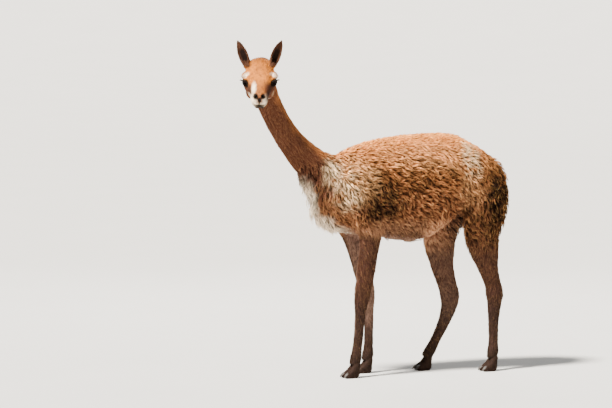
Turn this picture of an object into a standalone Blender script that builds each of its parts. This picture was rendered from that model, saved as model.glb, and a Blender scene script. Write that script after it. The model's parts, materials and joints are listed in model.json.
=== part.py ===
"""A life-size standing vicuna, as a still museum model, in metres with +Z up and the animal facing -X.

Its left side is towards -Y and its soles rest at z = 0. Sizes reach to the tips of the coat.
"""
import math

import bmesh
import bpy
import numpy as np
from mathutils import Matrix, Vector
from mathutils.bvhtree import BVHTree

# Driving dimensions, in metres
GAP = 0.0003
BODY_VOXEL = 0.006
HEAD_VOXEL = 0.0028
BODY_TRIANGLES = 2500
HEAD_TRIANGLES = 1250
SEED = 11
# The fleece: depth of its clumps over the core, their spacing, length, width and lift at the tip
CORE_DEPTH = 0.014
BIB_DEPTH = 0.024
CLUMP_SPACING = 0.075
CLUMP_LENGTH = 0.098
CLUMP_WIDTH = 0.073
CLUMP_ROOT = 0.010
LIE = (0.62, 0.0, -0.78)
# Long hair: spacing, length, width and thickness of the locks of the chest, belly and tail
BIB = (0.036, 0.092, 0.030, 0.010)
FRINGE = (0.062, 0.058, 0.036, 0.011)
TAIL_LOCKS = (0.036, 0.080, 0.026, 0.007)

# Trunk, rump to chest: x, middle z, half width, half height above, half height below, squareness
TRUNK = [
    (0.326, 0.735, 0.030, 0.035, 0.045, 2.0),
    (0.316, 0.736, 0.066, 0.066, 0.078, 2.1),
    (0.290, 0.740, 0.100, 0.104, 0.106, 2.1),
    (0.248, 0.747, 0.124, 0.140, 0.114, 2.2),
    (0.195, 0.755, 0.139, 0.169, 0.118, 2.2),
    (0.130, 0.758, 0.150, 0.197, 0.130, 2.2),
    (0.060, 0.756, 0.157, 0.209, 0.178, 2.2),
    (-0.010, 0.750, 0.160, 0.215, 0.210, 2.2),
    (-0.085, 0.748, 0.158, 0.213, 0.222, 2.2),
    (-0.160, 0.745, 0.151, 0.209, 0.208, 2.2),
    (-0.240, 0.740, 0.140, 0.200, 0.190, 2.2),
    (-0.310, 0.733, 0.130, 0.187, 0.172, 2.2),
    (-0.370, 0.727, 0.120, 0.166, 0.158, 2.1),
    (-0.430, 0.722, 0.101, 0.140, 0.142, 2.1),
    (-0.480, 0.722, 0.072, 0.115, 0.105, 2.0),
    (-0.508, 0.728, 0.040, 0.075, 0.065, 2.0),
]
# Neck, chest to skull: x, y, z, half width, half depth behind, half depth in front, squareness
NECK = [
    (-0.340, 0.000, 0.735, 0.105, 0.120, 0.120, 2.0),
    (-0.430, 0.000, 0.797, 0.088, 0.098, 0.118, 2.0),
    (-0.498, 0.000, 0.853, 0.069, 0.066, 0.092, 2.0),
    (-0.552, 0.000, 0.905, 0.056, 0.054, 0.070, 2.1),
    (-0.600, 0.000, 0.958, 0.050, 0.050, 0.060, 2.1),
    (-0.643, 0.000, 1.022, 0.047, 0.049, 0.056, 2.1),
    (-0.680, -0.003, 1.090, 0.046, 0.050, 0.055, 2.1),
    (-0.708, -0.014, 1.145, 0.046, 0.050, 0.053, 2.1),
    (-0.726, -0.032, 1.196, 0.046, 0.046, 0.048, 2.1),
    (-0.734, -0.044, 1.232, 0.034, 0.032, 0.034, 2.0),
]
# Legs, top to fetlock: x, y, z, half width, half depth behind, half depth in front, squareness
FORE_NEAR = [
    (-0.330, -0.062, 0.840, 0.040, 0.060, 0.060, 2.0),
    (-0.335, -0.080, 0.770, 0.054, 0.085, 0.100, 2.1),
    (-0.318, -0.088, 0.680, 0.052, 0.082, 0.088, 2.1),
    (-0.293, -0.085, 0.610, 0.044, 0.058, 0.060, 2.1),
    (-0.281, -0.080, 0.555, 0.036, 0.044, 0.044, 2.1),
    (-0.289, -0.075, 0.480, 0.030, 0.039, 0.037, 2.1),
    (-0.300, -0.072, 0.395, 0.027, 0.037, 0.034, 2.1),
    (-0.313, -0.070, 0.318, 0.027, 0.033, 0.030, 2.2),
    (-0.319, -0.070, 0.262, 0.021, 0.024, 0.023, 2.1),
    (-0.325, -0.070, 0.180, 0.018, 0.021, 0.020, 2.1),
    (-0.332, -0.070, 0.115, 0.018, 0.021, 0.021, 2.1),
    (-0.338, -0.070, 0.078, 0.022, 0.023, 0.023, 2.1),
    (-0.345, -0.070, 0.052, 0.019, 0.018, 0.020, 2.1),
]
FORE_FAR = [
    (-0.325, 0.062, 0.840, 0.040, 0.060, 0.060, 2.0),
    (-0.332, 0.080, 0.770, 0.054, 0.085, 0.100, 2.1),
    (-0.318, 0.088, 0.680, 0.052, 0.080, 0.088, 2.1),
    (-0.297, 0.085, 0.610, 0.044, 0.056, 0.060, 2.1),
    (-0.282, 0.080, 0.555, 0.036, 0.043, 0.044, 2.1),
    (-0.262, 0.075, 0.480, 0.030, 0.039, 0.037, 2.1),
    (-0.240, 0.072, 0.395, 0.027, 0.036, 0.034, 2.1),
    (-0.224, 0.070, 0.318, 0.027, 0.032, 0.030, 2.2),
    (-0.218, 0.070, 0.262, 0.021, 0.023, 0.023, 2.1),
    (-0.216, 0.070, 0.180, 0.018, 0.020, 0.020, 2.1),
    (-0.217, 0.070, 0.115, 0.018, 0.020, 0.021, 2.1),
    (-0.220, 0.070, 0.078, 0.022, 0.023, 0.023, 2.1),
    (-0.226, 0.070, 0.052, 0.019, 0.018, 0.020, 2.1),
]
HIND_NEAR = [
    (0.205, -0.055, 0.860, 0.045, 0.060, 0.060, 2.0),
    (0.210, -0.072, 0.780, 0.066, 0.100, 0.105, 2.1),
    (0.220, -0.080, 0.690, 0.068, 0.107, 0.104, 2.1),
    (0.216, -0.082, 0.615, 0.060, 0.096, 0.096, 2.1),
    (0.212, -0.082, 0.555, 0.050, 0.080, 0.080, 2.1),
    (0.224, -0.080, 0.485, 0.040, 0.060, 0.060, 2.1),
    (0.243, -0.075, 0.415, 0.031, 0.042, 0.040, 2.1),
    (0.264, -0.071, 0.356, 0.026, 0.034, 0.034, 2.1),
    (0.276, -0.070, 0.312, 0.026, 0.035, 0.040, 2.2),
    (0.274, -0.070, 0.268, 0.022, 0.030, 0.031, 2.2),
    (0.270, -0.070, 0.205, 0.019, 0.024, 0.024, 2.1),
    (0.270, -0.070, 0.130, 0.018, 0.021, 0.021, 2.1),
    (0.268, -0.070, 0.082, 0.022, 0.023, 0.023, 2.1),
    (0.262, -0.070, 0.054, 0.019, 0.018, 0.020, 2.1),
]
HIND_FAR = [
    (0.190, 0.055, 0.860, 0.045, 0.060, 0.060, 2.0),
    (0.180, 0.072, 0.780, 0.066, 0.100, 0.100, 2.1),
    (0.155, 0.080, 0.690, 0.068, 0.100, 0.098, 2.1),
    (0.125, 0.083, 0.615, 0.062, 0.090, 0.088, 2.1),
    (0.107, 0.083, 0.550, 0.052, 0.073, 0.074, 2.1),
    (0.105, 0.080, 0.485, 0.041, 0.060, 0.060, 2.1),
    (0.113, 0.076, 0.415, 0.032, 0.048, 0.046, 2.1),
    (0.130, 0.072, 0.350, 0.027, 0.041, 0.040, 2.1),
    (0.145, 0.070, 0.295, 0.027, 0.040, 0.042, 2.2),
    (0.140, 0.070, 0.248, 0.023, 0.033, 0.036, 2.2),
    (0.116, 0.070, 0.188, 0.019, 0.025, 0.026, 2.1),
    (0.081, 0.070, 0.122, 0.018, 0.021, 0.022, 2.1),
    (0.055, 0.070, 0.078, 0.022, 0.022, 0.023, 2.1),
    (0.038, 0.070, 0.054, 0.019, 0.018, 0.020, 2.1),
]
# Tail, root to tip: x, y, z, half width, half depth behind, half depth in front, squareness
TAIL = [
    (0.240, 0.000, 0.840, 0.026, 0.022, 0.024, 2.0),
    (0.280, 0.000, 0.838, 0.030, 0.022, 0.024, 2.0),
    (0.316, 0.000, 0.820, 0.034, 0.020, 0.020, 2.0),
    (0.338, 0.000, 0.780, 0.037, 0.016, 0.016, 2.0),
    (0.346, 0.000, 0.735, 0.040, 0.014, 0.014, 2.0),
    (0.346, 0.000, 0.685, 0.040, 0.013, 0.013, 2.0),
    (0.342, 0.000, 0.635, 0.030, 0.010, 0.011, 2.0),
    (0.338, 0.000, 0.605, 0.014, 0.006, 0.007, 2.0),
]
# Toe, ankle to tip, in the foot's own frame: ahead, height, half width, half depth above, half depth below
TOE = [
    (-0.012, 0.062, 0.010, 0.010, 0.010),
    (-0.004, 0.044, 0.012, 0.015, 0.015),
    (0.008, 0.028, 0.0125, 0.015, 0.031),
    (0.022, 0.019, 0.0125, 0.013, 0.026),
    (0.036, 0.013, 0.0115, 0.010, 0.019),
    (0.046, 0.009, 0.0080, 0.006, 0.012),
]
TOE_SIDE = 0.0118
TOE_SPLAY = math.radians(6.0)
# Foot: where its ankle stands (x, y), and the turn of its toes from straight ahead
FEET = {
    "fore_left": (-0.345, -0.070, 4.0),
    "fore_right": (-0.224, 0.070, -4.0),
    "hind_left": (0.263, -0.070, 4.0),
    "hind_right": (0.040, 0.070, -5.0),
}
NAIL = (0.0085, 0.019, 0.0060)
# Head, in its own frame about the middle of the eyes: along, half width, top, bottom, width of the lower half, squareness
HEAD = [
    (-0.106, 0.026, 0.030, -0.030, 1.00, 2.0),
    (-0.098, 0.042, 0.048, -0.056, 1.00, 2.0),
    (-0.080, 0.054, 0.062, -0.074, 1.00, 2.0),
    (-0.052, 0.062, 0.068, -0.082, 0.98, 1.95),
    (-0.024, 0.065, 0.064, -0.082, 0.94, 1.95),
    (0.004, 0.062, 0.053, -0.077, 0.90, 2.05),
    (0.030, 0.050, 0.041, -0.068, 0.88, 2.3),
    (0.055, 0.039, 0.031, -0.060, 0.86, 2.3),
    (0.080, 0.035, 0.024, -0.056, 0.92, 2.3),
    (0.102, 0.034, 0.018, -0.054, 0.94, 2.4),
    (0.119, 0.030, 0.009, -0.049, 0.92, 2.4),
    (0.129, 0.021, -0.004, -0.040, 0.92, 2.2),
    (0.133, 0.010, -0.014, -0.030, 0.92, 2.0),
]
EYES_MIDDLE = Vector((-0.761, -0.100, 1.169))
HEAD_TURN = math.radians(-24.0)
HEAD_PITCH = math.radians(26.0)
HEAD_ROLL = math.radians(0.5)
EYE_RADIUS = 0.0182
EYE_AHEAD = 0.002
EYE_SIDE = 0.0475
EYE_HEIGHT = 0.001
EYE_LOOK = (0.67, 0.05, 0.74)
LID = 0.0030
EYE_OPENING = (0.0160, 0.0128)
NOSTRIL_PLACE = (0.123, 0.000, 0.0130)
NOSTRIL_SIZE = (0.010, 0.0040, 0.0080)
NOSTRIL_TURN = 52.0
MOUTH_MIDDLE = 0.095
MOUTH_HEIGHT = -0.034
MOUTH_RISE = 0.006
MOUTH_SWEEP = 128.0
MOUTH_RADIUS = 0.0014
EAR_LENGTH = 0.108
EAR_WIDTH = 0.0200
EAR_WALL = 0.0040
EAR_ROOT = (-0.052, 0.042, 0.046)
EAR_TILT = math.radians(25.0)
EAR_LEAN = 0.06
EAR_CUT = 0.012
EAR_FACE = math.radians(18.0)
# Muscles, lips and ear roots on each side of the head, in its frame: place, half sizes, turn in degrees
HEAD_FORMS = [
    ((-0.008, 0.018, 0.049), (0.034, 0.015, 0.0185), (-10, 0, -12)),
    ((-0.045, -0.030, 0.036), (0.036, 0.036, 0.024), (0, 0, 0)),
    ((-0.018, -0.050, 0.032), (0.046, 0.027, 0.024), (0, 0, 6)),
    ((0.112, -0.014, 0.0150), (0.018, 0.016, 0.0125), (0, 0, -30)),
    ((0.108, -0.030, 0.0150), (0.020, 0.013, 0.0150), (0, 0, 0)),
    ((0.100, -0.046, 0.0090), (0.020, 0.012, 0.0130), (0, 0, 0)),
    ((-0.054, 0.040, 0.043), (0.019, 0.024, 0.017), (30, 0, 0)),
]
# Where the head is parted from the neck, in the head's frame
NECK_CUT = (-0.075, -0.078, 0.0)
NECK_CUT_NORMAL = (0.55, 0.83, 0.0)
# Thin cuts that part the body: node above, x, y, z, size x, size y, lean from level in degrees
CUTS = [
    ("neck", -0.498, 0.0, 0.853, 0.270, 0.260, -38.5),
    ("fore_left", -0.281, -0.080, 0.522, 0.130, 0.110, 0.0),
    ("fore_right", -0.275, 0.080, 0.522, 0.130, 0.110, 0.0),
    ("hind_left", 0.225, -0.092, 0.592, 0.280, 0.178, -6.0),
    ("hind_right", 0.110, 0.092, 0.564, 0.262, 0.150, -13.0),
    ("fore_left_knee", -0.306, -0.071, 0.352, 0.120, 0.100, 0.0),
    ("fore_right_knee", -0.231, 0.071, 0.352, 0.120, 0.100, 0.0),
    ("hind_left_hock", 0.266, -0.071, 0.352, 0.120, 0.100, 0.0),
    ("hind_right_hock", 0.130, 0.072, 0.352, 0.120, 0.100, 0.0),
    ("fore_left_foot", -0.336, -0.070, 0.098, 0.100, 0.100, 0.0),
    ("fore_right_foot", -0.219, 0.070, 0.098, 0.100, 0.100, 0.0),
    ("hind_left_foot", 0.269, -0.070, 0.098, 0.100, 0.100, 0.0),
    ("hind_right_foot", 0.067, 0.070, 0.098, 0.100, 0.100, 0.0),
]
# A point in the middle of each piece of the body after its cuts
BODY_NODES = {
    "torso": (0.0, 0.0, 0.75),
    "neck": (-0.640, 0.0, 1.010),
    "fore_left_upper": (-0.290, -0.076, 0.440),
    "fore_left_lower": (-0.320, -0.070, 0.220),
    "fore_right_upper": (-0.250, 0.075, 0.440),
    "fore_right_lower": (-0.220, 0.070, 0.220),
    "hind_left_upper": (0.230, -0.080, 0.480),
    "hind_left_lower": (0.273, -0.070, 0.220),
    "hind_right_upper": (0.112, 0.080, 0.450),
    "hind_right_lower": (0.110, 0.070, 0.220),
    "foot_fore_left": (-0.358, -0.070, 0.040),
    "foot_fore_right": (-0.238, 0.070, 0.040),
    "foot_hind_left": (0.250, -0.070, 0.040),
    "foot_hind_right": (0.030, 0.070, 0.040),
}

COAT = (0.42, 0.25, 0.13, 0.95, 0.0)
LEG = (0.36, 0.25, 0.16, 0.95, 0.0)
HORN = (0.06, 0.05, 0.045, 0.45, 0.0)
EYE = (0.008, 0.006, 0.005, 0.08, 0.0)


def clear_scene():
    for obj in list(bpy.data.objects):
        bpy.data.objects.remove(obj)


def collection(name, hidden=False):
    made = bpy.data.collections.new(name)
    bpy.context.scene.collection.children.link(made)
    made.hide_render = hidden
    return made


def material(name, look):
    made = bpy.data.materials.new(name)
    made.use_nodes = True
    shader = made.node_tree.nodes["Principled BSDF"]
    shader.inputs["Base Color"].default_value = (*look[:3], 1.0)
    shader.inputs["Roughness"].default_value = look[3]
    shader.inputs["Metallic"].default_value = look[4]
    made.diffuse_color = (*look[:3], 1.0)
    return made


def object_of(name, bm, where):
    if bm.calc_volume(signed=True) < 0:
        bmesh.ops.reverse_faces(bm, faces=bm.faces)
    mesh = bpy.data.meshes.new(name)
    bm.to_mesh(mesh)
    bm.free()
    obj = bpy.data.objects.new(name, mesh)
    where.objects.link(obj)
    return obj


def smooth_rows(rows, count):
    """Rows at even steps of path length along a smooth curve through the given rows."""
    rows = np.array(rows, float)
    ends = np.vstack([2 * rows[0] - rows[1], rows, 2 * rows[-1] - rows[-2]])
    step = np.linalg.norm(np.diff(rows[:, :3], axis=0), axis=1)
    at = np.concatenate([[0], np.cumsum(step)])
    wanted = np.linspace(0, at[-1], count)
    i = np.clip(np.searchsorted(at, wanted, side="right") - 1, 0, len(rows) - 2)
    t = ((wanted - at[i]) / step[i])[:, None]
    p0, p1, p2, p3 = ends[i], ends[i + 1], ends[i + 2], ends[i + 3]
    return 0.5 * (
        2 * p1
        + (p2 - p0) * t
        + (2 * p0 - 5 * p1 + 4 * p2 - p3) * t**2
        + (3 * p1 - p0 - 3 * p2 + p3) * t**3
    )


def superellipse(angle, squareness):
    c, s = np.cos(angle), np.sin(angle)
    power = 2.0 / squareness
    return np.sign(c) * np.abs(c) ** power, np.sign(s) * np.abs(s) ** power


def skin_rings(name, rings, where):
    """A closed mesh through rings of points, with a fan over each end."""
    segments = rings.shape[1]
    bm = bmesh.new()
    verts = [[bm.verts.new(p) for p in ring] for ring in rings]
    for a, b in zip(verts[:-1], verts[1:]):
        for j in range(segments):
            k = (j + 1) % segments
            bm.faces.new((a[j], a[k], b[k], b[j]))
    for ring, points in ((verts[0], rings[0]), (verts[-1], rings[-1])):
        middle = bm.verts.new(points.mean(axis=0))
        for j in range(segments):
            bm.faces.new((ring[j], ring[(j + 1) % segments], middle))
    bmesh.ops.recalc_face_normals(bm, faces=bm.faces)
    return object_of(name, bm, where)


def path_loft(name, rows, count, segments, where):
    """A body of oval sections square to a path. Each row: x, y, z, half width, two half depths, squareness."""
    rows = smooth_rows(rows, count)
    centre = rows[:, :3]
    along = np.gradient(centre, axis=0)
    along /= np.linalg.norm(along, axis=1)[:, None]
    side = np.array([0.0, 1.0, 0.0]) - along * along[:, 1:2]
    side /= np.linalg.norm(side, axis=1)[:, None]
    deep = np.cross(along, side)
    deep = -deep if deep[:, 0].mean() < 0 else deep
    angle = np.linspace(0, 2 * np.pi, segments, endpoint=False)
    rings = np.empty((count, segments, 3))
    for i in range(count):
        across, out = superellipse(angle, rows[i, 6])
        half = np.where(out > 0, rows[i, 4], rows[i, 5])
        rings[i] = centre[i] + np.outer(across * rows[i, 3], side[i]) + np.outer(out * half, deep[i])
    return skin_rings(name, rings, where)


def trunk_loft(name, where, count=44, segments=44):
    """The trunk, as upright sections along x."""
    rows = np.array(TRUNK)
    rows = np.column_stack([rows[:, 0], 0 * rows[:, 0], rows[:, 1], rows[:, 2:]])
    rows = smooth_rows(rows, count)
    angle = np.linspace(0, 2 * np.pi, segments, endpoint=False)
    rings = np.empty((count, segments, 3))
    for i, (x, y, z, wide, above, below, square) in enumerate(rows):
        across, out = superellipse(angle, square)
        high = np.where(out > 0, above, below)
        rings[i] = np.column_stack([np.full(segments, x), y + across * wide, z + out * high])
    return skin_rings(name, rings, where)


def head_matrix():
    """The head's frame: x along the face, y up and z to the right."""
    ahead = Vector((math.sin(HEAD_TURN), -math.cos(HEAD_TURN), 0.0))
    up = Vector((0.0, 0.0, 1.0))
    along = ahead * math.cos(HEAD_PITCH) - up * math.sin(HEAD_PITCH)
    top = ahead * math.sin(HEAD_PITCH) + up * math.cos(HEAD_PITCH)
    top = Matrix.Rotation(HEAD_ROLL, 3, along) @ top
    turn = Matrix((along, top, along.cross(top))).transposed().to_4x4()
    return Matrix.Translation(EYES_MIDDLE) @ turn


def head_loft(name, where, count=36, segments=32):
    rows = np.array(HEAD)
    rows = np.column_stack([rows[:, 0], 0 * rows[:, 0], 0 * rows[:, 0], rows[:, 1:]])
    rows = smooth_rows(rows, count)
    angle = np.linspace(0, 2 * np.pi, segments, endpoint=False)
    rings = np.empty((count, segments, 3))
    for i, (x, _, _, wide, top, bottom, lower, square) in enumerate(rows):
        across, out = superellipse(angle, square)
        middle, half = (top + bottom) / 2, (top - bottom) / 2
        narrow = np.where(out < 0, 1 + out * (1 - lower), 1.0)
        rings[i] = np.column_stack([np.full(segments, x), middle + out * half, across * wide * narrow])
    made = skin_rings(name, rings, where)
    made.data.transform(head_matrix())
    return made


def ellipsoid(name, place, size, where, frame=None, turn=(0.0, 0.0, 0.0), segments=24, rings=14):
    """A ball stretched to half sizes, turned about its own axes, then placed in a frame."""
    bm = bmesh.new()
    bmesh.ops.create_uvsphere(bm, u_segments=segments, v_segments=rings, radius=1.0)
    spin = Matrix.Rotation(turn[0], 4, "X") @ Matrix.Rotation(turn[1], 4, "Y") @ Matrix.Rotation(turn[2], 4, "Z")
    bm.transform(
        (frame or Matrix.Identity(4)) @ Matrix.Translation(place) @ spin @ Matrix.Diagonal((*size, 1.0))
    )
    made = object_of(name, bm, where)
    if (frame or Matrix.Identity(4)).determinant() < 0:
        made.data.flip_normals()
    return made


def box(name, place, size, where, turn=None):
    bm = bmesh.new()
    bmesh.ops.create_cube(bm, size=1.0)
    bm.transform(Matrix.Translation(place) @ (turn or Matrix.Identity(4)) @ Matrix.Diagonal((*size, 1.0)))
    return object_of(name, bm, where)


def apply_modifiers(obj):
    graph = bpy.context.evaluated_depsgraph_get()
    mesh = bpy.data.meshes.new_from_object(obj.evaluated_get(graph))
    obj.modifiers.clear()
    obj.data = mesh


def joined(name, objects, where):
    """The objects' meshes as one mesh, with the objects removed."""
    bm = bmesh.new()
    for obj in objects:
        bm.from_mesh(obj.data)
        bpy.data.objects.remove(obj)
    return object_of(name, bm, where)


def remeshed(obj, voxel, passes):
    remesh = obj.modifiers.new("union", "REMESH")
    remesh.mode = "VOXEL"
    remesh.voxel_size = voxel
    smooth = obj.modifiers.new("smooth", "SMOOTH")
    smooth.factor = 0.5
    smooth.iterations = passes
    apply_modifiers(obj)


def triangle_count(obj):
    obj.data.calc_loop_triangles()
    return len(obj.data.loop_triangles)


def thinned(obj, triangles):
    thin = obj.modifiers.new("thin", "DECIMATE")
    thin.ratio = min(1.0, triangles / triangle_count(obj))
    thin.use_collapse_triangulate = True
    apply_modifiers(obj)


def boolean(obj, other, operation, solver="MANIFOLD"):
    cut = obj.modifiers.new("cut", "BOOLEAN")
    cut.operation = operation
    cut.solver = solver
    cut.object = other
    apply_modifiers(obj)
    bpy.data.objects.remove(other)


def islands(obj, where):
    """Each closed surface of a mesh as an object of its own, with its volume, largest first."""
    bm = bmesh.new()
    bm.from_mesh(obj.data)
    bmesh.ops.triangulate(bm, faces=bm.faces)
    bm.verts.index_update()
    seen, made = set(), []
    for start in bm.faces:
        if start in seen:
            continue
        seen.add(start)
        group, front = [start], [start]
        while front:
            for edge in front.pop().edges:
                for face in edge.link_faces:
                    if face not in seen:
                        seen.add(face)
                        group.append(face)
                        front.append(face)
        new, verts = bmesh.new(), {}
        for face in group:
            for vert in face.verts:
                if vert.index not in verts:
                    verts[vert.index] = new.verts.new(vert.co)
            corners = [verts[vert.index] for vert in face.verts]
            flake = new.faces.get(corners)
            if flake:
                new.faces.remove(flake)
            else:
                new.faces.new(corners)
        made.append((new.calc_volume(signed=True), object_of("island", new, where)))
    bm.free()
    bpy.data.objects.remove(obj)
    made.sort(key=lambda pair: -pair[0])
    return made


def half_space(name, point, normal, where, reach=2.5):
    """A large box with one face through a point, reaching along the normal."""
    turn = Vector(normal).normalized().to_track_quat("Z", "Y").to_matrix().to_4x4()
    bm = bmesh.new()
    bmesh.ops.create_cube(bm, size=1.0)
    bm.transform(
        Matrix.Translation(point)
        @ turn
        @ Matrix.Translation((0, 0, reach / 2))
        @ Matrix.Diagonal((reach, reach, reach, 1.0))
    )
    return object_of(name, bm, where)


def foot_matrix(place):
    """A foot's frame: x ahead, along the toes, with the ankle over its origin."""
    x, y, turn = place
    return Matrix.Translation((x, y, 0.0)) @ Matrix.Rotation(math.pi + math.radians(turn), 4, "Z")


def toe_matrix(place, side):
    splay = Matrix.Rotation(side * TOE_SPLAY, 4, "Z")
    return foot_matrix(place) @ Matrix.Translation((0.0, side * TOE_SIDE, 0.0)) @ splay


def toe_loft(name, place, side, where):
    rows = np.array(TOE)
    rows = np.column_stack(
        [rows[:, 0], 0 * rows[:, 0], rows[:, 1], rows[:, 2], rows[:, 3], rows[:, 4], np.full(len(rows), 2.3)]
    )
    made = path_loft(name, rows, 6, 7, where)
    made.data.transform(toe_matrix(place, side))
    return made


def nail(name, place, side, where, grown=0.0):
    """A toe's nail, a blunt wedge over the tip."""
    bm = bmesh.new()
    half, length, thick = NAIL
    bmesh.ops.create_cone(bm, cap_ends=True, segments=10, radius1=half + grown, radius2=0.5 * half + grown, depth=length + 2 * grown)
    for vert in bm.verts:
        vert.co.y *= (thick + grown) / (half + grown)
    lean = Matrix.Rotation(math.radians(118.0), 4, "Y")
    turn = Matrix.Translation((TOE[-1][0] - 0.002, 0.0, TOE[-1][1] + 0.004)) @ lean @ Matrix.Rotation(math.pi / 2, 4, "Z")
    bm.transform(toe_matrix(place, side) @ turn)
    bmesh.ops.recalc_face_normals(bm, faces=bm.faces)
    return object_of(name, bm, where)


def ear_rings(side):
    """A cupped leaf, open to the front, as crescent sections from root to tip, in the world's frame."""
    frame = head_matrix()
    ahead = Vector((math.sin(HEAD_TURN), -math.cos(HEAD_TURN), 0.0))
    out = (frame.to_3x3() @ Vector((0, 0, 1))) * side
    axis = (Vector((0, 0, 1)) + out * math.tan(EAR_TILT) + ahead * EAR_LEAN).normalized()
    face = ahead + out * math.tan(EAR_FACE)
    face = (face - axis * face.dot(axis)).normalized()
    across = axis.cross(face) * side
    root = frame @ Vector((EAR_ROOT[0], EAR_ROOT[1], side * EAR_ROOT[2]))
    u = np.linspace(0, 1, 11)
    wide = EAR_WIDTH * np.interp(u, [0, 0.15, 0.38, 0.6, 0.8, 0.93, 1.0], [0.62, 0.82, 1.0, 0.92, 0.62, 0.30, 0.06])
    deep = EAR_WIDTH * np.interp(u, [0, 0.2, 0.5, 0.8, 1.0], [0.75, 0.72, 0.55, 0.30, 0.05])
    spread = np.radians(np.interp(u, [0, 0.12, 0.3, 0.6, 1.0], [160, 140, 112, 98, 90]))
    wall = EAR_WALL * np.interp(u, [0, 0.7, 1.0], [1.0, 0.75, 0.25])
    curl = EAR_LENGTH * 0.05 * np.sin(u * math.pi * 0.5) ** 2
    rings = np.empty((len(u), 14, 3))
    for i in range(len(u)):
        angle = np.linspace(-spread[i], spread[i], 7)
        outer = np.column_stack([np.sin(angle) * wide[i], -np.cos(angle) * deep[i]])
        inner = np.column_stack(
            [np.sin(angle) * (wide[i] - wall[i]) * 0.97, -np.cos(angle) * (deep[i] - wall[i]) + 0.25 * wall[i]]
        )[::-1]
        flat = np.vstack([outer, inner])
        middle = root + axis * (EAR_LENGTH * u[i]) - out * curl[i]
        rings[i] = np.array(middle) + np.outer(flat[:, 0], across) + np.outer(flat[:, 1], face)
    return rings


def ear(name, side, where):
    made = skin_rings(name, ear_rings(side), where)
    bm = bmesh.new()
    bm.from_mesh(made.data)
    bmesh.ops.triangulate(bm, faces=bm.faces)
    bmesh.ops.recalc_face_normals(bm, faces=bm.faces)
    bm.to_mesh(made.data)
    bm.free()
    return made


def tube(name, points, radius, where):
    """A round tube through points, as a closed mesh."""
    curve = bpy.data.curves.new(name, "CURVE")
    curve.dimensions = "3D"
    curve.bevel_depth = radius
    curve.bevel_resolution = 1
    curve.use_fill_caps = True
    line = curve.splines.new("POLY")
    line.points.add(len(points) - 1)
    for point, at in zip(line.points, points):
        point.co = (*at, 1.0)
    guide = bpy.data.objects.new(name, curve)
    where.objects.link(guide)
    graph = bpy.context.evaluated_depsgraph_get()
    mesh = bpy.data.meshes.new_from_object(guide.evaluated_get(graph))
    bpy.data.objects.remove(guide)
    bm = bmesh.new()
    bm.from_mesh(mesh)
    bmesh.ops.remove_doubles(bm, verts=bm.verts, dist=1e-5)
    bmesh.ops.recalc_face_normals(bm, faces=bm.faces)
    return object_of(name, bm, where)


def surface_of(obj):
    return BVHTree.FromPolygons(
        [v.co.copy() for v in obj.data.vertices], [tuple(p.vertices) for p in obj.data.polygons]
    )


def mouth_line(head):
    """Points on the muzzle along the closed lips, from one corner round the front to the other."""
    frame, surface = head_matrix(), surface_of(head)
    points = []
    for angle in np.radians(np.linspace(-MOUTH_SWEEP, MOUTH_SWEEP, 33)):
        rise = MOUTH_RISE * (angle / math.radians(MOUTH_SWEEP)) ** 2
        start = frame @ Vector((MOUTH_MIDDLE, MOUTH_HEIGHT + rise, 0.0))
        way = frame.to_3x3() @ Vector((math.cos(angle), 0.0, math.sin(angle)))
        hit = surface.ray_cast(start + way * 0.15, -way)[0]
        if hit:
            points.append(hit)
    return points


def eye_matrix(side):
    """An eye's frame: x along its lids, y up and z out along its look."""
    look = Vector((EYE_LOOK[0], EYE_LOOK[1], EYE_LOOK[2] * side)).normalized()
    up = Vector((0, 1, 0))
    along = up.cross(look).normalized()
    up = look.cross(along)
    turn = Matrix((along, up, look)).transposed().to_4x4()
    return head_matrix() @ Matrix.Translation((EYE_AHEAD, EYE_HEIGHT, side * EYE_SIDE)) @ turn


def head_solid(where, cut, normal):
    """The head with its sockets, lids, nostrils and mouth, cut off behind the throat."""
    frame = head_matrix()
    pieces = [head_loft("skull", where), path_loft("nape", NECK[4:], 24, 32, where)]
    for side in (-1, 1):
        pieces.append(ellipsoid("lids", (0, 0, 0), [EYE_RADIUS + LID] * 3, where, eye_matrix(side)))
        for place, size, turn in HEAD_FORMS:
            place = (place[0], place[1], side * place[2])
            turn = tuple(math.radians(t * s) for t, s in zip(turn, (side, side, 1)))
            pieces.append(ellipsoid("form", place, size, where, frame, turn))
    head = joined("head", pieces, where)
    remeshed(head, HEAD_VOXEL, 4)
    thinned(head, HEAD_TRIANGLES)
    boolean(head, tube("mouth", mouth_line(head), MOUTH_RADIUS, where), "DIFFERENCE")
    for side in (-1, 1):
        look = eye_matrix(side)
        boolean(head, ellipsoid("socket", (0, 0, 0), [EYE_RADIUS + 1.3 * GAP] * 3, where, look, segments=14, rings=8), "DIFFERENCE")
        opening = ellipsoid("opening", (0, 0, 0.013), (*EYE_OPENING, 0.020), where, look, segments=14, rings=8)
        boolean(head, opening, "DIFFERENCE")
        place = (NOSTRIL_PLACE[0], NOSTRIL_PLACE[1], side * NOSTRIL_PLACE[2])
        turn = (math.radians(side * NOSTRIL_TURN), 0.0, 0.0)
        hole = ellipsoid("nostril", place, NOSTRIL_SIZE, where, frame, turn, segments=10, rings=6)
        boolean(head, hole, "DIFFERENCE")
    boolean(head, half_space("above", cut, normal, where), "INTERSECT")
    return head


def ramp(values, low, high):
    """0 below low, 1 above high and smooth between them."""
    t = np.clip((values - low) / (high - low), 0, 1)
    return t * t * (3 - 2 * t)


def fleece_at(points):
    """How far each point belongs to the woolly trunk, from 0 to 1."""
    x, y, z = points.T
    front = ramp(z, 0.56, 0.64)
    behind = ramp(z, 0.46, 0.58)
    return ramp(x, -0.57, -0.45) * np.where(x < 0.0, front, behind)


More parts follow.
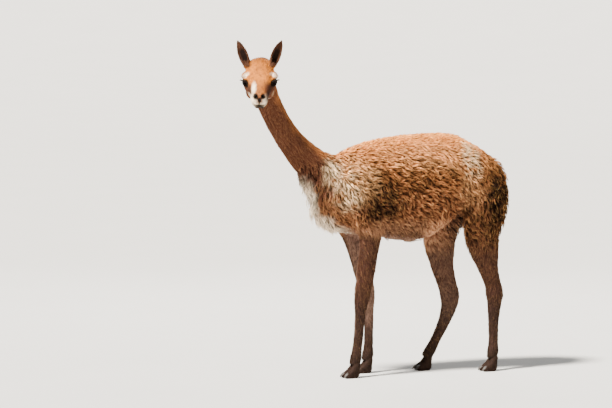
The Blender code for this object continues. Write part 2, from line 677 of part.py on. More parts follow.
def bib_at(points):
    """How far each point belongs to the long hair of the chest, from 0 to 1."""
    x, y, z = points.T
    return ramp(-x, 0.41, 0.47) * ramp(-z, -0.87, -0.80) * ramp(z, 0.54, 0.60) * ramp(-np.abs(y), -0.10, -0.07)


def arrays(obj):
    """A mesh's points, their normals and its triangles as arrays."""
    mesh = obj.data
    mesh.calc_loop_triangles()
    points = np.empty(len(mesh.vertices) * 3)
    normals = np.empty(len(mesh.vertices) * 3)
    triangles = np.empty(len(mesh.loop_triangles) * 3, np.int32)
    mesh.vertices.foreach_get("co", points)
    mesh.vertex_normals.foreach_get("vector", normals)
    mesh.loop_triangles.foreach_get("vertices", triangles)
    return points.reshape(-1, 3), normals.reshape(-1, 3), triangles.reshape(-1, 3)


def shrunk_to_core(body):
    """Moves the coat's outer surface in to the core that its clumps and locks stand on."""
    points, normals, _ = arrays(body)
    depth = CORE_DEPTH * fleece_at(points)
    depth += (BIB_DEPTH - CORE_DEPTH) * bib_at(points)
    points -= normals * depth[:, None]
    body.data.vertices.foreach_set("co", points.ravel())
    body.data.update()


def scattered(body, spacing, wanted, rng, tries=24000):
    """Points spread over a surface no nearer than the spacing, with their normals, where wanted(points, normals) is true."""
    points, _, triangles = arrays(body)
    a, b, c = (points[triangles[:, i]] for i in range(3))
    cross = np.cross(b - a, c - a)
    area = np.linalg.norm(cross, axis=1)
    pick = rng.choice(len(area), tries, p=area / area.sum())
    u, v = rng.random(tries), rng.random(tries)
    flip = u + v > 1
    u, v = np.where(flip, 1 - u, u)[:, None], np.where(flip, 1 - v, v)[:, None]
    spots = a[pick] + u * (b - a)[pick] + v * (c - a)[pick]
    normals = cross[pick] / area[pick][:, None]
    good = wanted(spots, normals)
    spots, normals = spots[good], normals[good]
    kept = np.empty((0, 3))
    chosen = []
    for i, spot in enumerate(spots):
        if len(kept) == 0 or ((kept - spot) ** 2).sum(axis=1).min() > spacing**2:
            kept = np.vstack([kept, spot])
            chosen.append(i)
    return spots[chosen], normals[chosen]


def open_side(surface, spot, normal, reach):
    """True where nothing stands within reach in front of a spot."""
    return surface.ray_cast(Vector(spot + normal * 0.004), Vector(normal), reach)[0] is None


def along_surface(way, normal):
    way = np.array(way) - normal * np.dot(way, normal)
    return way / max(np.linalg.norm(way), 1e-6)


def lie_at(spot, normal):
    """The way the fleece lies: back and down the sides, parted along the spine."""
    way = np.array(LIE)
    way[1] = 0.5 * np.sign(spot[1]) * max(0.0, normal[2])
    if spot[0] > 0.22:
        way[0] *= 0.3
    return along_surface(way, normal)


def closed_form(rings, start, end, where):
    """A closed piece through rings of points, pointed at both ends."""
    bm = bmesh.new()
    rows = [[bm.verts.new(p) for p in ring] for ring in rings]
    count = len(rings[0])
    for one, two in zip(rows[:-1], rows[1:]):
        for j in range(count):
            bm.faces.new((one[j], one[(j + 1) % count], two[(j + 1) % count], two[j]))
    for row, tip in ((rows[0], start), (rows[-1], end)):
        point = bm.verts.new(tip)
        for j in range(count):
            bm.faces.new((row[j], row[(j + 1) % count], point))
    bmesh.ops.recalc_face_normals(bm, faces=bm.faces)
    return object_of("form", bm, where)


def clump(spot, normal, way, size, rng, where):
    """A rounded clump of fleece lying along the coat, rooted in the core, with its fuller end free."""
    side = np.cross(normal, way)
    length = CLUMP_LENGTH * size * rng.uniform(0.9, 1.12)
    width = CLUMP_WIDTH * size * rng.uniform(0.88, 1.12)
    high = CORE_DEPTH * rng.uniform(0.85, 1.2)
    rings = []
    drift = 0.0
    for at, wide, top in ((-0.12, 0.50, 0.95), (0.27, 0.38, 1.0)):
        drift += rng.uniform(-0.10, 0.10) * width
        middle = spot + way * length * at + side * drift
        ring = []
        for angle in np.radians([0, 60, 120, 180, 240, 300]) + rng.uniform(-0.2, 0.2):
            out = high * top * math.sin(angle) if math.sin(angle) > 0 else CLUMP_ROOT * math.sin(angle)
            reach = width * wide * rng.uniform(0.86, 1.12)
            ring.append(middle + side * reach * math.cos(angle) + normal * out)
        rings.append(ring)
    start = spot - way * length * 0.48 - normal * CLUMP_ROOT
    end = spot + way * length * 0.52 + side * drift + normal * high * 0.35
    return closed_form(rings, start, end, where)


def lock(spot, normal, way, length, width, thick, rng, where, lift=0.35):
    """A flat tapered lock that leaves the surface and bends over to hang."""
    length *= rng.uniform(0.85, 1.15)
    width *= rng.uniform(0.85, 1.15)
    sway = np.cross(normal, way) * rng.uniform(-0.10, 0.10) * length
    rings = []
    for u, wide in ((0.0, 0.85), (0.42, 1.0), (0.80, 0.50)):
        out = normal * (length * lift * math.sin(u * math.pi * 0.6) * 0.6 - 0.012 * (1 - u))
        middle = spot + way * length * u + out + sway * u * u
        side = np.cross(normal, way)
        ring = [
            middle + side * width * wide * 0.5 * a + normal * thick * (0.4 + 0.6 * wide) * 0.5 * b
            for a, b in ((-1, 0), (0, 1), (1, 0), (0, -1))
        ]
        rings.append(ring)
    start = spot - normal * 0.018 - way * 0.006
    end = spot + way * length + normal * length * lift * 0.5 + sway
    return closed_form(rings, start, end, where)


def fleece(body, where, rng):
    """The clumps and locks over the core, as closed pieces."""
    surface = surface_of(body)
    made = []

    def woolly(points, normals):
        return (fleece_at(points) > 0.6) & (bib_at(points) < 0.4) & (normals[:, 2] > -0.80)

    for spot, normal in zip(*scattered(body, CLUMP_SPACING, woolly, rng)):
        if open_side(surface, spot, normal, 0.07):
            made.append(clump(spot, normal, lie_at(spot, normal), 1.0, rng, where))
    clumps = len(made)

    def chest(points, normals):
        return (bib_at(points) > 0.35) & ((normals[:, 0] < 0.2) | (normals[:, 2] < -0.3))

    spacing, length, width, thick = BIB
    for spot, normal in zip(*scattered(body, spacing, chest, rng)):
        way = along_surface((0.25, 0.0, -1.0), normal)
        reach = length * (0.55 if normal[2] < -0.6 else 1.0)
        made.append(lock(spot, normal, way, reach, width, thick, rng, where, 0.22))

    def belly(points, normals):
        x, y, z = points.T
        return (normals[:, 2] < -0.70) & (x > -0.24) & (x < 0.06) & (z > 0.50)

    spacing, length, width, thick = FRINGE
    for spot, normal in zip(*scattered(body, spacing, belly, rng)):
        if open_side(surface, spot, normal, 0.07):
            way = along_surface((0.8, 0.0, -0.5), normal)
            made.append(lock(spot, normal, way, length, width, thick, rng, where, 0.42))
    print("clumps", clumps, "locks", len(made) - clumps)
    return made


def tail_locks(tail, where, rng):
    """The hanging locks of the tail."""
    spacing, length, width, thick = TAIL_LOCKS

    def hairy(points, normals):
        return (points[:, 2] < 0.815) & (points[:, 2] > 0.62) & (points[:, 0] > 0.325)

    made = []
    for spot, normal in zip(*scattered(tail, spacing, hairy, rng, 4000)):
        way = along_surface((0.0, 0.0, -1.0), normal)
        reach = min(length, spot[2] - 0.592)
        made.append(lock(spot, normal, way, reach, width, thick, rng, where, 0.03))
    return made


def united(obj, pieces, where):
    """One Boolean union of a mesh with a collection of closed pieces, which are then removed."""
    group = bpy.data.collections.new("pieces")
    bpy.context.scene.collection.children.link(group)
    for piece in pieces:
        where.objects.unlink(piece)
        group.objects.link(piece)
    join = obj.modifiers.new("join", "BOOLEAN")
    join.operation = "UNION"
    join.solver = "MANIFOLD"
    join.operand_type = "COLLECTION"
    join.collection = group
    apply_modifiers(obj)
    for piece in list(group.objects):
        bpy.data.objects.remove(piece)
    bpy.data.collections.remove(group)


def cutters(where):
    """The thin boxes that part the body, as one mesh."""
    made = []
    for name, x, y, z, long, wide, lean in CUTS:
        turn = Matrix.Rotation(math.radians(lean), 4, "Y")
        made.append(box(name, (x, y, z), (long, wide, GAP), where, turn))
    return joined("cuts", made, where)


def inflated(obj, by, where):
    """A copy of a mesh moved out along its normals."""
    bm = bmesh.new()
    bm.from_mesh(obj.data)
    bm.normal_update()
    for vert, way in [(v, v.normal.copy()) for v in bm.verts]:
        vert.co += way * by
    return object_of("grown", bm, where)


def largest(obj, where):
    found = islands(obj, where)
    for _, other in found[1:]:
        bpy.data.objects.remove(other)
    return found[0][1]


def finished(obj, name, look, where):
    """Names a piece, gives it its material and puts its origin at its middle."""
    obj.name = name
    obj.data.name = name
    corners = np.array([v.co for v in obj.data.vertices])
    middle = Vector((corners.min(axis=0) + corners.max(axis=0)) / 2)
    obj.data.transform(Matrix.Translation(-middle))
    obj.location = middle
    obj.data.materials.clear()
    obj.data.materials.append(look)
    obj.data.shade_smooth()
    obj.data.set_sharp_from_angle(angle=math.radians(50.0))
    print(name, triangle_count(obj))


def main():
    clear_scene()
    parts = collection("vicuna")
    coat, leg_hair = material("coat", COAT), material("leg hair", LEG)
    horn, eye_look = material("horn", HORN), material("eye", EYE)
    frame = head_matrix()
    normal = frame.to_3x3() @ Vector(NECK_CUT_NORMAL)
    cut = frame @ Vector(NECK_CUT)

    pieces = [trunk_loft("trunk", parts), path_loft("neck", NECK, 44, 36, parts), head_loft("skull", parts)]
    for rows in (FORE_NEAR, FORE_FAR, HIND_NEAR, HIND_FAR):
        pieces.append(path_loft("leg", rows, 44, 24, parts))
    body = joined("body", pieces, parts)
    remeshed(body, BODY_VOXEL, 6)
    shrunk_to_core(body)
    thinned(body, BODY_TRIANGLES)
    rng = np.random.default_rng(SEED)
    united(body, fleece(body, parts, rng), parts)
    print("body", triangle_count(body))

    for place in FEET.values():
        for side in (-1, 1):
            boolean(body, toe_loft("toe", place, side, parts), "UNION")
    boolean(body, half_space("ground", (0, 0, 0), (0, 0, 1), parts), "INTERSECT")
    boolean(body, half_space("below", cut - normal * GAP, -normal, parts), "INTERSECT")
    grown_body = inflated(body, GAP, parts)

    nails = []
    for place_name, place in FEET.items():
        for side, label in ((-1, "outer"), (1, "inner")):
            if "right" in place_name:
                label = {"outer": "inner", "inner": "outer"}[label]
            boolean(body, nail("bed", place, side, parts, GAP), "DIFFERENCE")
            nails.append((nail("nail", place, side, parts), f"nail_{place_name}_{label}"))
    boolean(body, cutters(parts), "DIFFERENCE")
    found = islands(body, parts)
    for name, seed in BODY_NODES.items():
        near = min(
            found[: len(BODY_NODES)],
            key=lambda pair: (Vector(np.mean([v.co for v in pair[1].data.vertices], axis=0)) - Vector(seed)).length,
        )
        found.remove(near)
        finished(near[1], name, coat if name in ("torso", "neck") else leg_hair, parts)
    for _, scrap in found:
        bpy.data.objects.remove(scrap)
    for made, name in nails:
        finished(made, name, horn, parts)

    tail = path_loft("tail", TAIL, 9, 10, parts)
    united(tail, tail_locks(tail, parts, rng), parts)
    boolean(tail, grown_body, "DIFFERENCE")
    finished(largest(tail, parts), "tail", coat, parts)

    head = head_solid(parts, cut, normal)
    for side in (-1, 1):
        boolean(head, ear("ear", side, parts), "UNION")
    for side in (-1, 1):
        out = frame.to_3x3() @ Vector((0, 0, 1)) * side
        axis = (Vector((0, 0, 1)) + out * math.tan(EAR_TILT)).normalized()
        at = frame @ Vector((EAR_ROOT[0], EAR_ROOT[1], side * EAR_ROOT[2])) + axis * EAR_CUT
        turn = axis.to_track_quat("Z", "Y").to_matrix().to_4x4()
        boolean(head, box("slit", at, (0.05, 0.05, GAP), parts, turn), "DIFFERENCE")
    found = islands(head, parts)
    finished(found[0][1], "head", coat, parts)
    ears = found[1:3]
    ears.sort(key=lambda pair: np.mean([v.co.x for v in pair[1].data.vertices]))
    finished(ears[0][1], "ear_right", coat, parts)
    finished(ears[1][1], "ear_left", coat, parts)
    for _, scrap in found[3:]:
        bpy.data.objects.remove(scrap)
    for side, name in ((-1, "eye_left"), (1, "eye_right")):
        ball = ellipsoid(name, (0, 0, 0), [EYE_RADIUS] * 3, parts, eye_matrix(side), segments=14, rings=8)
        finished(ball, name, eye_look, parts)

    bpy.context.view_layer.update()
    corners = np.array([obj.matrix_world @ Vector(c) for obj in parts.objects for c in obj.bound_box])
    low, high = corners.min(axis=0), corners.max(axis=0)
    for obj in parts.objects:
        obj.location -= Vector(((low[0] + high[0]) / 2, (low[1] + high[1]) / 2, low[2]))


main()
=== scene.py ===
# The looks of a life-size standing vicuna: one skin, a coat of solid tufts, eyes, lashes and nails.
# Metres, +Z up. The animal faces -X with its left side towards -Y. Shapes are worked out in the
# source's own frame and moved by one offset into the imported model's.
import json
import math

import bpy
import numpy as np
from mathutils import Euler, Matrix, Vector
from mathutils.bvhtree import BVHTree

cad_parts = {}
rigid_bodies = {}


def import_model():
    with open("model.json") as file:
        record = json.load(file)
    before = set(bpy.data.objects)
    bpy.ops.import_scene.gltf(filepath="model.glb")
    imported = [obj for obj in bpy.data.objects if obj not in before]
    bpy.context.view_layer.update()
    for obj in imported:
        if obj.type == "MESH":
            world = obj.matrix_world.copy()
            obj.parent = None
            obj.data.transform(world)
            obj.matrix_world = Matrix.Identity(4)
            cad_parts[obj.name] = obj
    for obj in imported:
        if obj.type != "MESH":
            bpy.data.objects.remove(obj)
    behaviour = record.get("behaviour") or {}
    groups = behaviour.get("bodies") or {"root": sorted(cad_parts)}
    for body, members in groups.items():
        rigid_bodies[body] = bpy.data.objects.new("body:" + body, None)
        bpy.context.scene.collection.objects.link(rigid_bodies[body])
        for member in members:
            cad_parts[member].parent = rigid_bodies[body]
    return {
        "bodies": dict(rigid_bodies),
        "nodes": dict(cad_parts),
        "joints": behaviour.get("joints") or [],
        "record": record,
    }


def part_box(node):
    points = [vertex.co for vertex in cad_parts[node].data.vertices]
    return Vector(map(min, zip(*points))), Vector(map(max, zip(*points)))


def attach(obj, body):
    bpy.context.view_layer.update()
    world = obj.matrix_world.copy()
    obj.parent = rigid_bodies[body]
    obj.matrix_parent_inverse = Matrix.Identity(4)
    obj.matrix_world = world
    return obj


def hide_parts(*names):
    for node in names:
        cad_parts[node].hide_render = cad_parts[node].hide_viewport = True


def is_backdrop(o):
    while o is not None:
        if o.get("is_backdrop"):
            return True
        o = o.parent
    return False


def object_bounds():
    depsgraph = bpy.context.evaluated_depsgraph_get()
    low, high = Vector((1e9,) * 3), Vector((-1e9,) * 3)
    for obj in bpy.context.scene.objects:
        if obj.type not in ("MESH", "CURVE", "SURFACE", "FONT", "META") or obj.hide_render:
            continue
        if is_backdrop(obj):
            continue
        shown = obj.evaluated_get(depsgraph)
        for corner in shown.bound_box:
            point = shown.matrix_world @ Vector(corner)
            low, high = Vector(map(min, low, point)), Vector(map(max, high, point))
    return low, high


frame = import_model()
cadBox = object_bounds()
print("frame loaded")

# Trunk, rump to chest: x, middle z, half width, half height above, half height below, squareness
trunkRows = [
    (0.326, 0.735, 0.030, 0.035, 0.045, 2.0), (0.316, 0.736, 0.066, 0.066, 0.078, 2.1),
    (0.290, 0.740, 0.100, 0.104, 0.106, 2.1), (0.248, 0.747, 0.124, 0.140, 0.114, 2.2),
    (0.195, 0.755, 0.139, 0.169, 0.118, 2.2), (0.130, 0.758, 0.150, 0.197, 0.130, 2.2),
    (0.060, 0.756, 0.157, 0.209, 0.178, 2.2), (-0.010, 0.750, 0.160, 0.215, 0.210, 2.2),
    (-0.085, 0.748, 0.158, 0.213, 0.222, 2.2), (-0.160, 0.745, 0.151, 0.209, 0.208, 2.2),
    (-0.240, 0.740, 0.140, 0.200, 0.190, 2.2), (-0.310, 0.733, 0.130, 0.187, 0.172, 2.2),
    (-0.370, 0.727, 0.120, 0.166, 0.158, 2.1), (-0.430, 0.722, 0.101, 0.140, 0.142, 2.1),
    (-0.480, 0.722, 0.072, 0.115, 0.105, 2.0), (-0.508, 0.728, 0.040, 0.075, 0.065, 2.0),
]
# Neck, legs and tail along their paths: x, y, z, half width, half depth behind, in front, squareness
neckRows = [
    (-0.340, 0.000, 0.735, 0.105, 0.120, 0.120, 2.0), (-0.430, 0.000, 0.797, 0.088, 0.098, 0.118, 2.0),
    (-0.498, 0.000, 0.853, 0.069, 0.066, 0.092, 2.0), (-0.552, 0.000, 0.905, 0.056, 0.054, 0.070, 2.1),
    (-0.600, 0.000, 0.958, 0.050, 0.050, 0.060, 2.1), (-0.643, 0.000, 1.022, 0.047, 0.049, 0.056, 2.1),
    (-0.680, -0.003, 1.090, 0.046, 0.050, 0.055, 2.1), (-0.708, -0.014, 1.145, 0.046, 0.050, 0.053, 2.1),
    (-0.726, -0.032, 1.196, 0.046, 0.046, 0.048, 2.1), (-0.734, -0.044, 1.232, 0.034, 0.032, 0.034, 2.0),
]
legRows = {
    "foreLeft": [
        (-0.330, -0.062, 0.840, 0.040, 0.060, 0.060, 2.0), (-0.335, -0.080, 0.770, 0.054, 0.085, 0.100, 2.1),
        (-0.318, -0.088, 0.680, 0.052, 0.082, 0.088, 2.1), (-0.293, -0.085, 0.610, 0.044, 0.058, 0.060, 2.1),
        (-0.281, -0.080, 0.555, 0.036, 0.044, 0.044, 2.1), (-0.289, -0.075, 0.480, 0.030, 0.039, 0.037, 2.1),
        (-0.300, -0.072, 0.395, 0.027, 0.037, 0.034, 2.1), (-0.313, -0.070, 0.318, 0.027, 0.033, 0.030, 2.2),
        (-0.319, -0.070, 0.262, 0.021, 0.024, 0.023, 2.1), (-0.325, -0.070, 0.180, 0.018, 0.021, 0.020, 2.1),
        (-0.332, -0.070, 0.115, 0.018, 0.021, 0.021, 2.1), (-0.338, -0.070, 0.078, 0.022, 0.023, 0.023, 2.1),
        (-0.345, -0.070, 0.052, 0.019, 0.018, 0.020, 2.1),
    ],
    "foreRight": [
        (-0.325, 0.062, 0.840, 0.040, 0.060, 0.060, 2.0), (-0.332, 0.080, 0.770, 0.054, 0.085, 0.100, 2.1),
        (-0.318, 0.088, 0.680, 0.052, 0.080, 0.088, 2.1), (-0.297, 0.085, 0.610, 0.044, 0.056, 0.060, 2.1),
        (-0.282, 0.080, 0.555, 0.036, 0.043, 0.044, 2.1), (-0.262, 0.075, 0.480, 0.030, 0.039, 0.037, 2.1),
        (-0.240, 0.072, 0.395, 0.027, 0.036, 0.034, 2.1), (-0.224, 0.070, 0.318, 0.027, 0.032, 0.030, 2.2),
        (-0.218, 0.070, 0.262, 0.021, 0.023, 0.023, 2.1), (-0.216, 0.070, 0.180, 0.018, 0.020, 0.020, 2.1),
        (-0.217, 0.070, 0.115, 0.018, 0.020, 0.021, 2.1), (-0.220, 0.070, 0.078, 0.022, 0.023, 0.023, 2.1),
        (-0.226, 0.070, 0.052, 0.019, 0.018, 0.020, 2.1),
    ],
    "hindLeft": [
        (0.205, -0.055, 0.860, 0.045, 0.060, 0.060, 2.0), (0.210, -0.072, 0.780, 0.066, 0.100, 0.105, 2.1),
        (0.220, -0.080, 0.690, 0.068, 0.107, 0.104, 2.1), (0.216, -0.082, 0.615, 0.060, 0.096, 0.096, 2.1),
        (0.212, -0.082, 0.555, 0.050, 0.080, 0.080, 2.1), (0.224, -0.080, 0.485, 0.040, 0.060, 0.060, 2.1),
        (0.243, -0.075, 0.415, 0.031, 0.042, 0.040, 2.1), (0.264, -0.071, 0.356, 0.026, 0.034, 0.034, 2.1),
        (0.276, -0.070, 0.312, 0.026, 0.035, 0.040, 2.2), (0.274, -0.070, 0.268, 0.022, 0.030, 0.031, 2.2),
        (0.270, -0.070, 0.205, 0.019, 0.024, 0.024, 2.1), (0.270, -0.070, 0.130, 0.018, 0.021, 0.021, 2.1),
        (0.268, -0.070, 0.082, 0.022, 0.023, 0.023, 2.1), (0.262, -0.070, 0.054, 0.019, 0.018, 0.020, 2.1),
    ],
    "hindRight": [
        (0.190, 0.055, 0.860, 0.045, 0.060, 0.060, 2.0), (0.180, 0.072, 0.780, 0.066, 0.100, 0.100, 2.1),
        (0.155, 0.080, 0.690, 0.068, 0.100, 0.098, 2.1), (0.125, 0.083, 0.615, 0.062, 0.090, 0.088, 2.1),
        (0.107, 0.083, 0.550, 0.052, 0.073, 0.074, 2.1), (0.105, 0.080, 0.485, 0.041, 0.060, 0.060, 2.1),
        (0.113, 0.076, 0.415, 0.032, 0.048, 0.046, 2.1), (0.130, 0.072, 0.350, 0.027, 0.041, 0.040, 2.1),
        (0.145, 0.070, 0.295, 0.027, 0.040, 0.042, 2.2), (0.140, 0.070, 0.248, 0.023, 0.033, 0.036, 2.2),
        (0.116, 0.070, 0.188, 0.019, 0.025, 0.026, 2.1), (0.081, 0.070, 0.122, 0.018, 0.021, 0.022, 2.1),
        (0.055, 0.070, 0.078, 0.022, 0.022, 0.023, 2.1), (0.038, 0.070, 0.054, 0.019, 0.018, 0.020, 2.1),
    ],
}
tailRows = [
    (0.240, 0, 0.840, 0.026, 0.022, 0.024, 2.0), (0.280, 0, 0.838, 0.030, 0.022, 0.024, 2.0),
    (0.316, 0, 0.820, 0.034, 0.020, 0.020, 2.0), (0.338, 0, 0.780, 0.037, 0.016, 0.016, 2.0),
    (0.346, 0, 0.735, 0.040, 0.014, 0.014, 2.0), (0.346, 0, 0.685, 0.040, 0.013, 0.013, 2.0),
    (0.342, 0, 0.635, 0.030, 0.010, 0.011, 2.0), (0.338, 0, 0.605, 0.014, 0.006, 0.007, 2.0),
]
# Toe in its foot's frame: ahead, height, half width, half depth above, half depth below
toeRows = [
    (-0.012, 0.062, 0.010, 0.010, 0.010), (-0.004, 0.044, 0.012, 0.015, 0.015), (0.008, 0.028, 0.0125, 0.015, 0.031),
    (0.022, 0.019, 0.0125, 0.013, 0.026), (0.036, 0.013, 0.0115, 0.010, 0.019), (0.046, 0.009, 0.008, 0.006, 0.012),
]
# Foot: ankle x, ankle y, turn of the toes from straight ahead in degrees
feet = {
    "foreLeft": (-0.345, -0.070, 4.0),
    "foreRight": (-0.224, 0.070, -4.0),
    "hindLeft": (0.263, -0.070, 4.0),
    "hindRight": (0.040, 0.070, -5.0),
}
# Head in its own frame about the middle of the eyes: along, half width, top, bottom, lower width, squareness
headRows = [
    (-0.106, 0.026, 0.030, -0.030, 1.00, 2.0), (-0.098, 0.042, 0.048, -0.056, 1.00, 2.0),
    (-0.080, 0.054, 0.062, -0.074, 1.00, 2.0), (-0.052, 0.062, 0.068, -0.082, 0.98, 1.95),
    (-0.024, 0.065, 0.064, -0.082, 0.94, 1.95), (0.004, 0.062, 0.053, -0.077, 0.90, 2.05),
    (0.030, 0.050, 0.041, -0.068, 0.88, 2.3), (0.055, 0.039, 0.031, -0.060, 0.86, 2.3),
    (0.080, 0.035, 0.024, -0.056, 0.92, 2.3), (0.102, 0.034, 0.018, -0.054, 0.94, 2.4),
    (0.119, 0.030, 0.009, -0.049, 0.92, 2.4), (0.129, 0.021, -0.004, -0.040, 0.92, 2.2),
    (0.133, 0.010, -0.014, -0.030, 0.92, 2.0),
]
headPlace = {"eyesMiddle": (-0.761, -0.100, 1.169), "turn": -24.0, "pitch": 26.0, "roll": 0.5}
# Cheek bones, jaw, lips and ear roots on each side: place, half sizes, turn in degrees
headForms = [
    ((-0.008, 0.018, 0.049), (0.034, 0.015, 0.0185), (-10, 0, -12)),
    ((-0.045, -0.030, 0.036), (0.036, 0.036, 0.024), (0, 0, 0)),
    ((-0.018, -0.050, 0.032), (0.046, 0.027, 0.024), (0, 0, 6)),
    ((0.112, -0.014, 0.0150), (0.018, 0.016, 0.0125), (0, 0, -30)),
    ((0.108, -0.030, 0.0150), (0.020, 0.013, 0.0150), (0, 0, 0)),
    ((0.100, -0.046, 0.0090), (0.020, 0.012, 0.0130), (0, 0, 0)),
    ((-0.054, 0.040, 0.043), (0.019, 0.024, 0.017), (30, 0, 0)),
]
eye = {
    "radius": 0.0182,
    "ahead": 0.002,
    "side": 0.0475,
    "height": 0.001,
    "look": (0.80, 0.05, 0.60),
    "lid": 0.0026,
    "gap": 0.0003,  # between eyeball and socket
    "inside": 0.0002,  # how much smaller the eyeball is than the radius
    "opening": (0.0162, 0.0098, 0.020),
    "openingPlace": (0, -0.0012, 0.013),
    "cornea": 0.05,  # how far the clear front stands out, as a share of the radius
    "corneaWidth": 0.42,
    "iris": 0.86,
    "pupil": (0.46, 0.26),
}
nose = {
    "place": (0.123, 0.000, 0.0130),
    "size": (0.0105, 0.0042, 0.0080),
    "turn": 52.0,
    "mouthMiddle": 0.095,
    "mouthHeight": -0.030,
    "mouthRise": 0.006,
    "mouthSweep": 128.0,
    "leather": (0.119, -0.020, 0.0, 0.006),  # from where ahead, between which heights, and its half width
}
ear = {
    "length": 0.108,
    "width": 0.0200,
    "wall": 0.0036,
    "root": (-0.052, 0.042, 0.046),
    "tilt": 25.0,
    "lean": 0.06,
    "face": 18.0,
    "around": 15,
}
skinBuild = {
    "bodyVoxel": 0.0070,
    "headVoxel": 0.0021,
    "footVoxel": 0.0028,
    "bodySmooth": 6,
    "headSmooth": 3,
    "footSmooth": 5,
    "tailIn": 0.010,
    "join": 0.88,
    "napePasses": 70,
}
# Creases of the face: depth, half width, and for the lids how far from the eye's middle
creases = {
    "mouth": (0.0034, 0.0017),
    "lip": (0.0030, 0.0014),
    "upperLid": (0.0022, 0.0016, 0.0172),
    "lowerLid": (0.0012, 0.0022, 0.0182),
}
# How deep the skin lies under the solids' outline in each kind of coat
coatDepth = {"fleece": 0.015, "chest": 0.022, "neck": 0.007, "leg": 0.0022, "face": 0.0018}


def ramp(values, low, high):  # 0 below low, 1 above high, 3t2 - 2t3 between
    t = np.clip((values - low) / (high - low), 0, 1)
    return t * t * (3 - 2 * t)


def unit(vectors):  # each row over its own length
    return vectors / np.maximum(np.linalg.norm(vectors, axis=-1, keepdims=True), 1e-9)


def nearest(points, centres, block=2500):
    # The index of the nearest centre, from |c|2 - 2p.c, in blocks
    size = (centres**2).sum(axis=1)
    parts = [points[i : i + block] for i in range(0, len(points), block)]
    return np.concatenate([np.argmin(size - 2 * (part @ centres.T), axis=1) for part in parts])


def dot(one, two):  # each row with its own row
    return np.einsum("ij,ij->i", one, two)


def without(ways, normals, share=1.0):  # each way less its part along its normal
    return ways - normals * dot(ways, normals)[:, None] * share


def facing():  # the level way the head faces
    turn = math.radians(headPlace["turn"])
    return math.sin(turn), -math.cos(turn), 0.0


def headMatrix():  # x along the face, y up the brow, z to the animal's right
    pitch = math.radians(headPlace["pitch"])
    ahead, up = Vector(facing()), Vector((0.0, 0.0, 1.0))
    along = ahead * math.cos(pitch) - up * math.sin(pitch)
    top = ahead * math.sin(pitch) + up * math.cos(pitch)
    top = Matrix.Rotation(math.radians(headPlace["roll"]), 3, along) @ top
    turned = Matrix((along, top, along.cross(top))).transposed().to_4x4()
    return Matrix.Translation(headPlace["eyesMiddle"]) @ turned


def eyeMatrix(side):  # x along the lids, y up and z out along the look
    look = Vector((eye["look"][0], eye["look"][1], eye["look"][2] * side)).normalized()
    along = Vector((0, 1, 0)).cross(look).normalized()
    turn = Matrix((along, look.cross(along), look)).transposed().to_4x4()
    return headFrame @ Matrix.Translation((eye["ahead"], eye["height"], side * eye["side"])) @ turn


def placed(points, matrix):  # points through a 4x4
    m = np.array(matrix)
    return points @ m[:3, :3].T + m[:3, 3]


headFrame = headMatrix()
headInverse = headFrame.inverted()
eyeBoxes = [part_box("eye_left"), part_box("eye_right")]
eyesFound = sum((low + high for low, high in eyeBoxes), Vector()) / 4
offset = np.array(eyesFound - headFrame @ Vector((eye["ahead"], eye["height"], 0.0)))


def headLocal(points):
    return placed(points, headInverse)


def eyeDistance(points):  # to the middle of the nearer eye
    away = [np.linalg.norm(placed(points, eyeMatrix(side).inverted()), axis=1) for side in (-1, 1)]
    return np.min(away, axis=0)


def smoothRows(rows, count):
    # A cubic through the rows, read at even steps of path length:
    # half of (2b + (c - a)t + (2a - 5b + 4c - d)t2 + (3b - a - 3c + d)t3) for neighbours a, b, c, d
    rows = np.array(rows, float)
    ends = np.vstack([2 * rows[0] - rows[1], rows, 2 * rows[-1] - rows[-2]])
    step = np.linalg.norm(np.diff(rows[:, :3], axis=0), axis=1)
    at = np.concatenate([[0], np.cumsum(step)])
    wanted = np.linspace(0, at[-1], count)
    i = np.clip(np.searchsorted(at, wanted, side="right") - 1, 0, len(rows) - 2)
    t = ((wanted - at[i]) / step[i])[:, None]
    a, b, c, d = ends[i], ends[i + 1], ends[i + 2], ends[i + 3]
    return 0.5 * (2 * b + (c - a) * t + (2 * a - 5 * b + 4 * c - d) * t**2 + (3 * b - a - 3 * c + d) * t**3)


def ovals(segments, squareness):
    # Superellipse: the sign of the cosine and sine times their size to the power 2 over squareness
    angle = np.linspace(0, 2 * np.pi, segments, endpoint=False)[None, :]
    power = 2.0 / np.asarray(squareness)[:, None]
    c, s = np.cos(angle), np.sin(angle)
    return np.sign(c) * np.abs(c) ** power, np.sign(s) * np.abs(s) ** power


def pathRings(rows, count, segments):
    # Each section is its path point, plus across times the half width, plus out times a half depth
    rows = smoothRows(rows, count)
    centre = rows[:, :3]
    along = unit(np.gradient(centre, axis=0))
    side = unit(np.array([0.0, 1.0, 0.0]) - along * along[:, 1:2])
    deep = np.cross(along, side)
    deep = -deep if deep[:, 0].mean() < 0 else deep
    across, out = ovals(segments, rows[:, 6])
    half = np.where(out > 0, rows[:, 4:5], rows[:, 5:6])
    return (
        centre[:, None]
        + (across * rows[:, 3:4])[..., None] * side[:, None]
        + (out * half)[..., None] * deep[:, None]
    )


def trunkRings(count=60, segments=56):
    # Upright ovals along x: across times the half width, out times the height above or below
    rows = np.array(trunkRows)
    rows = smoothRows(np.column_stack([rows[:, 0], 0 * rows[:, 0], rows[:, 1], rows[:, 2:]]), count)
    across, out = ovals(segments, rows[:, 6])
    high = np.where(out > 0, rows[:, 4:5], rows[:, 5:6])
    return np.stack([0 * across + rows[:, 0:1], across * rows[:, 3:4], rows[:, 2:3] + out * high], axis=-1)


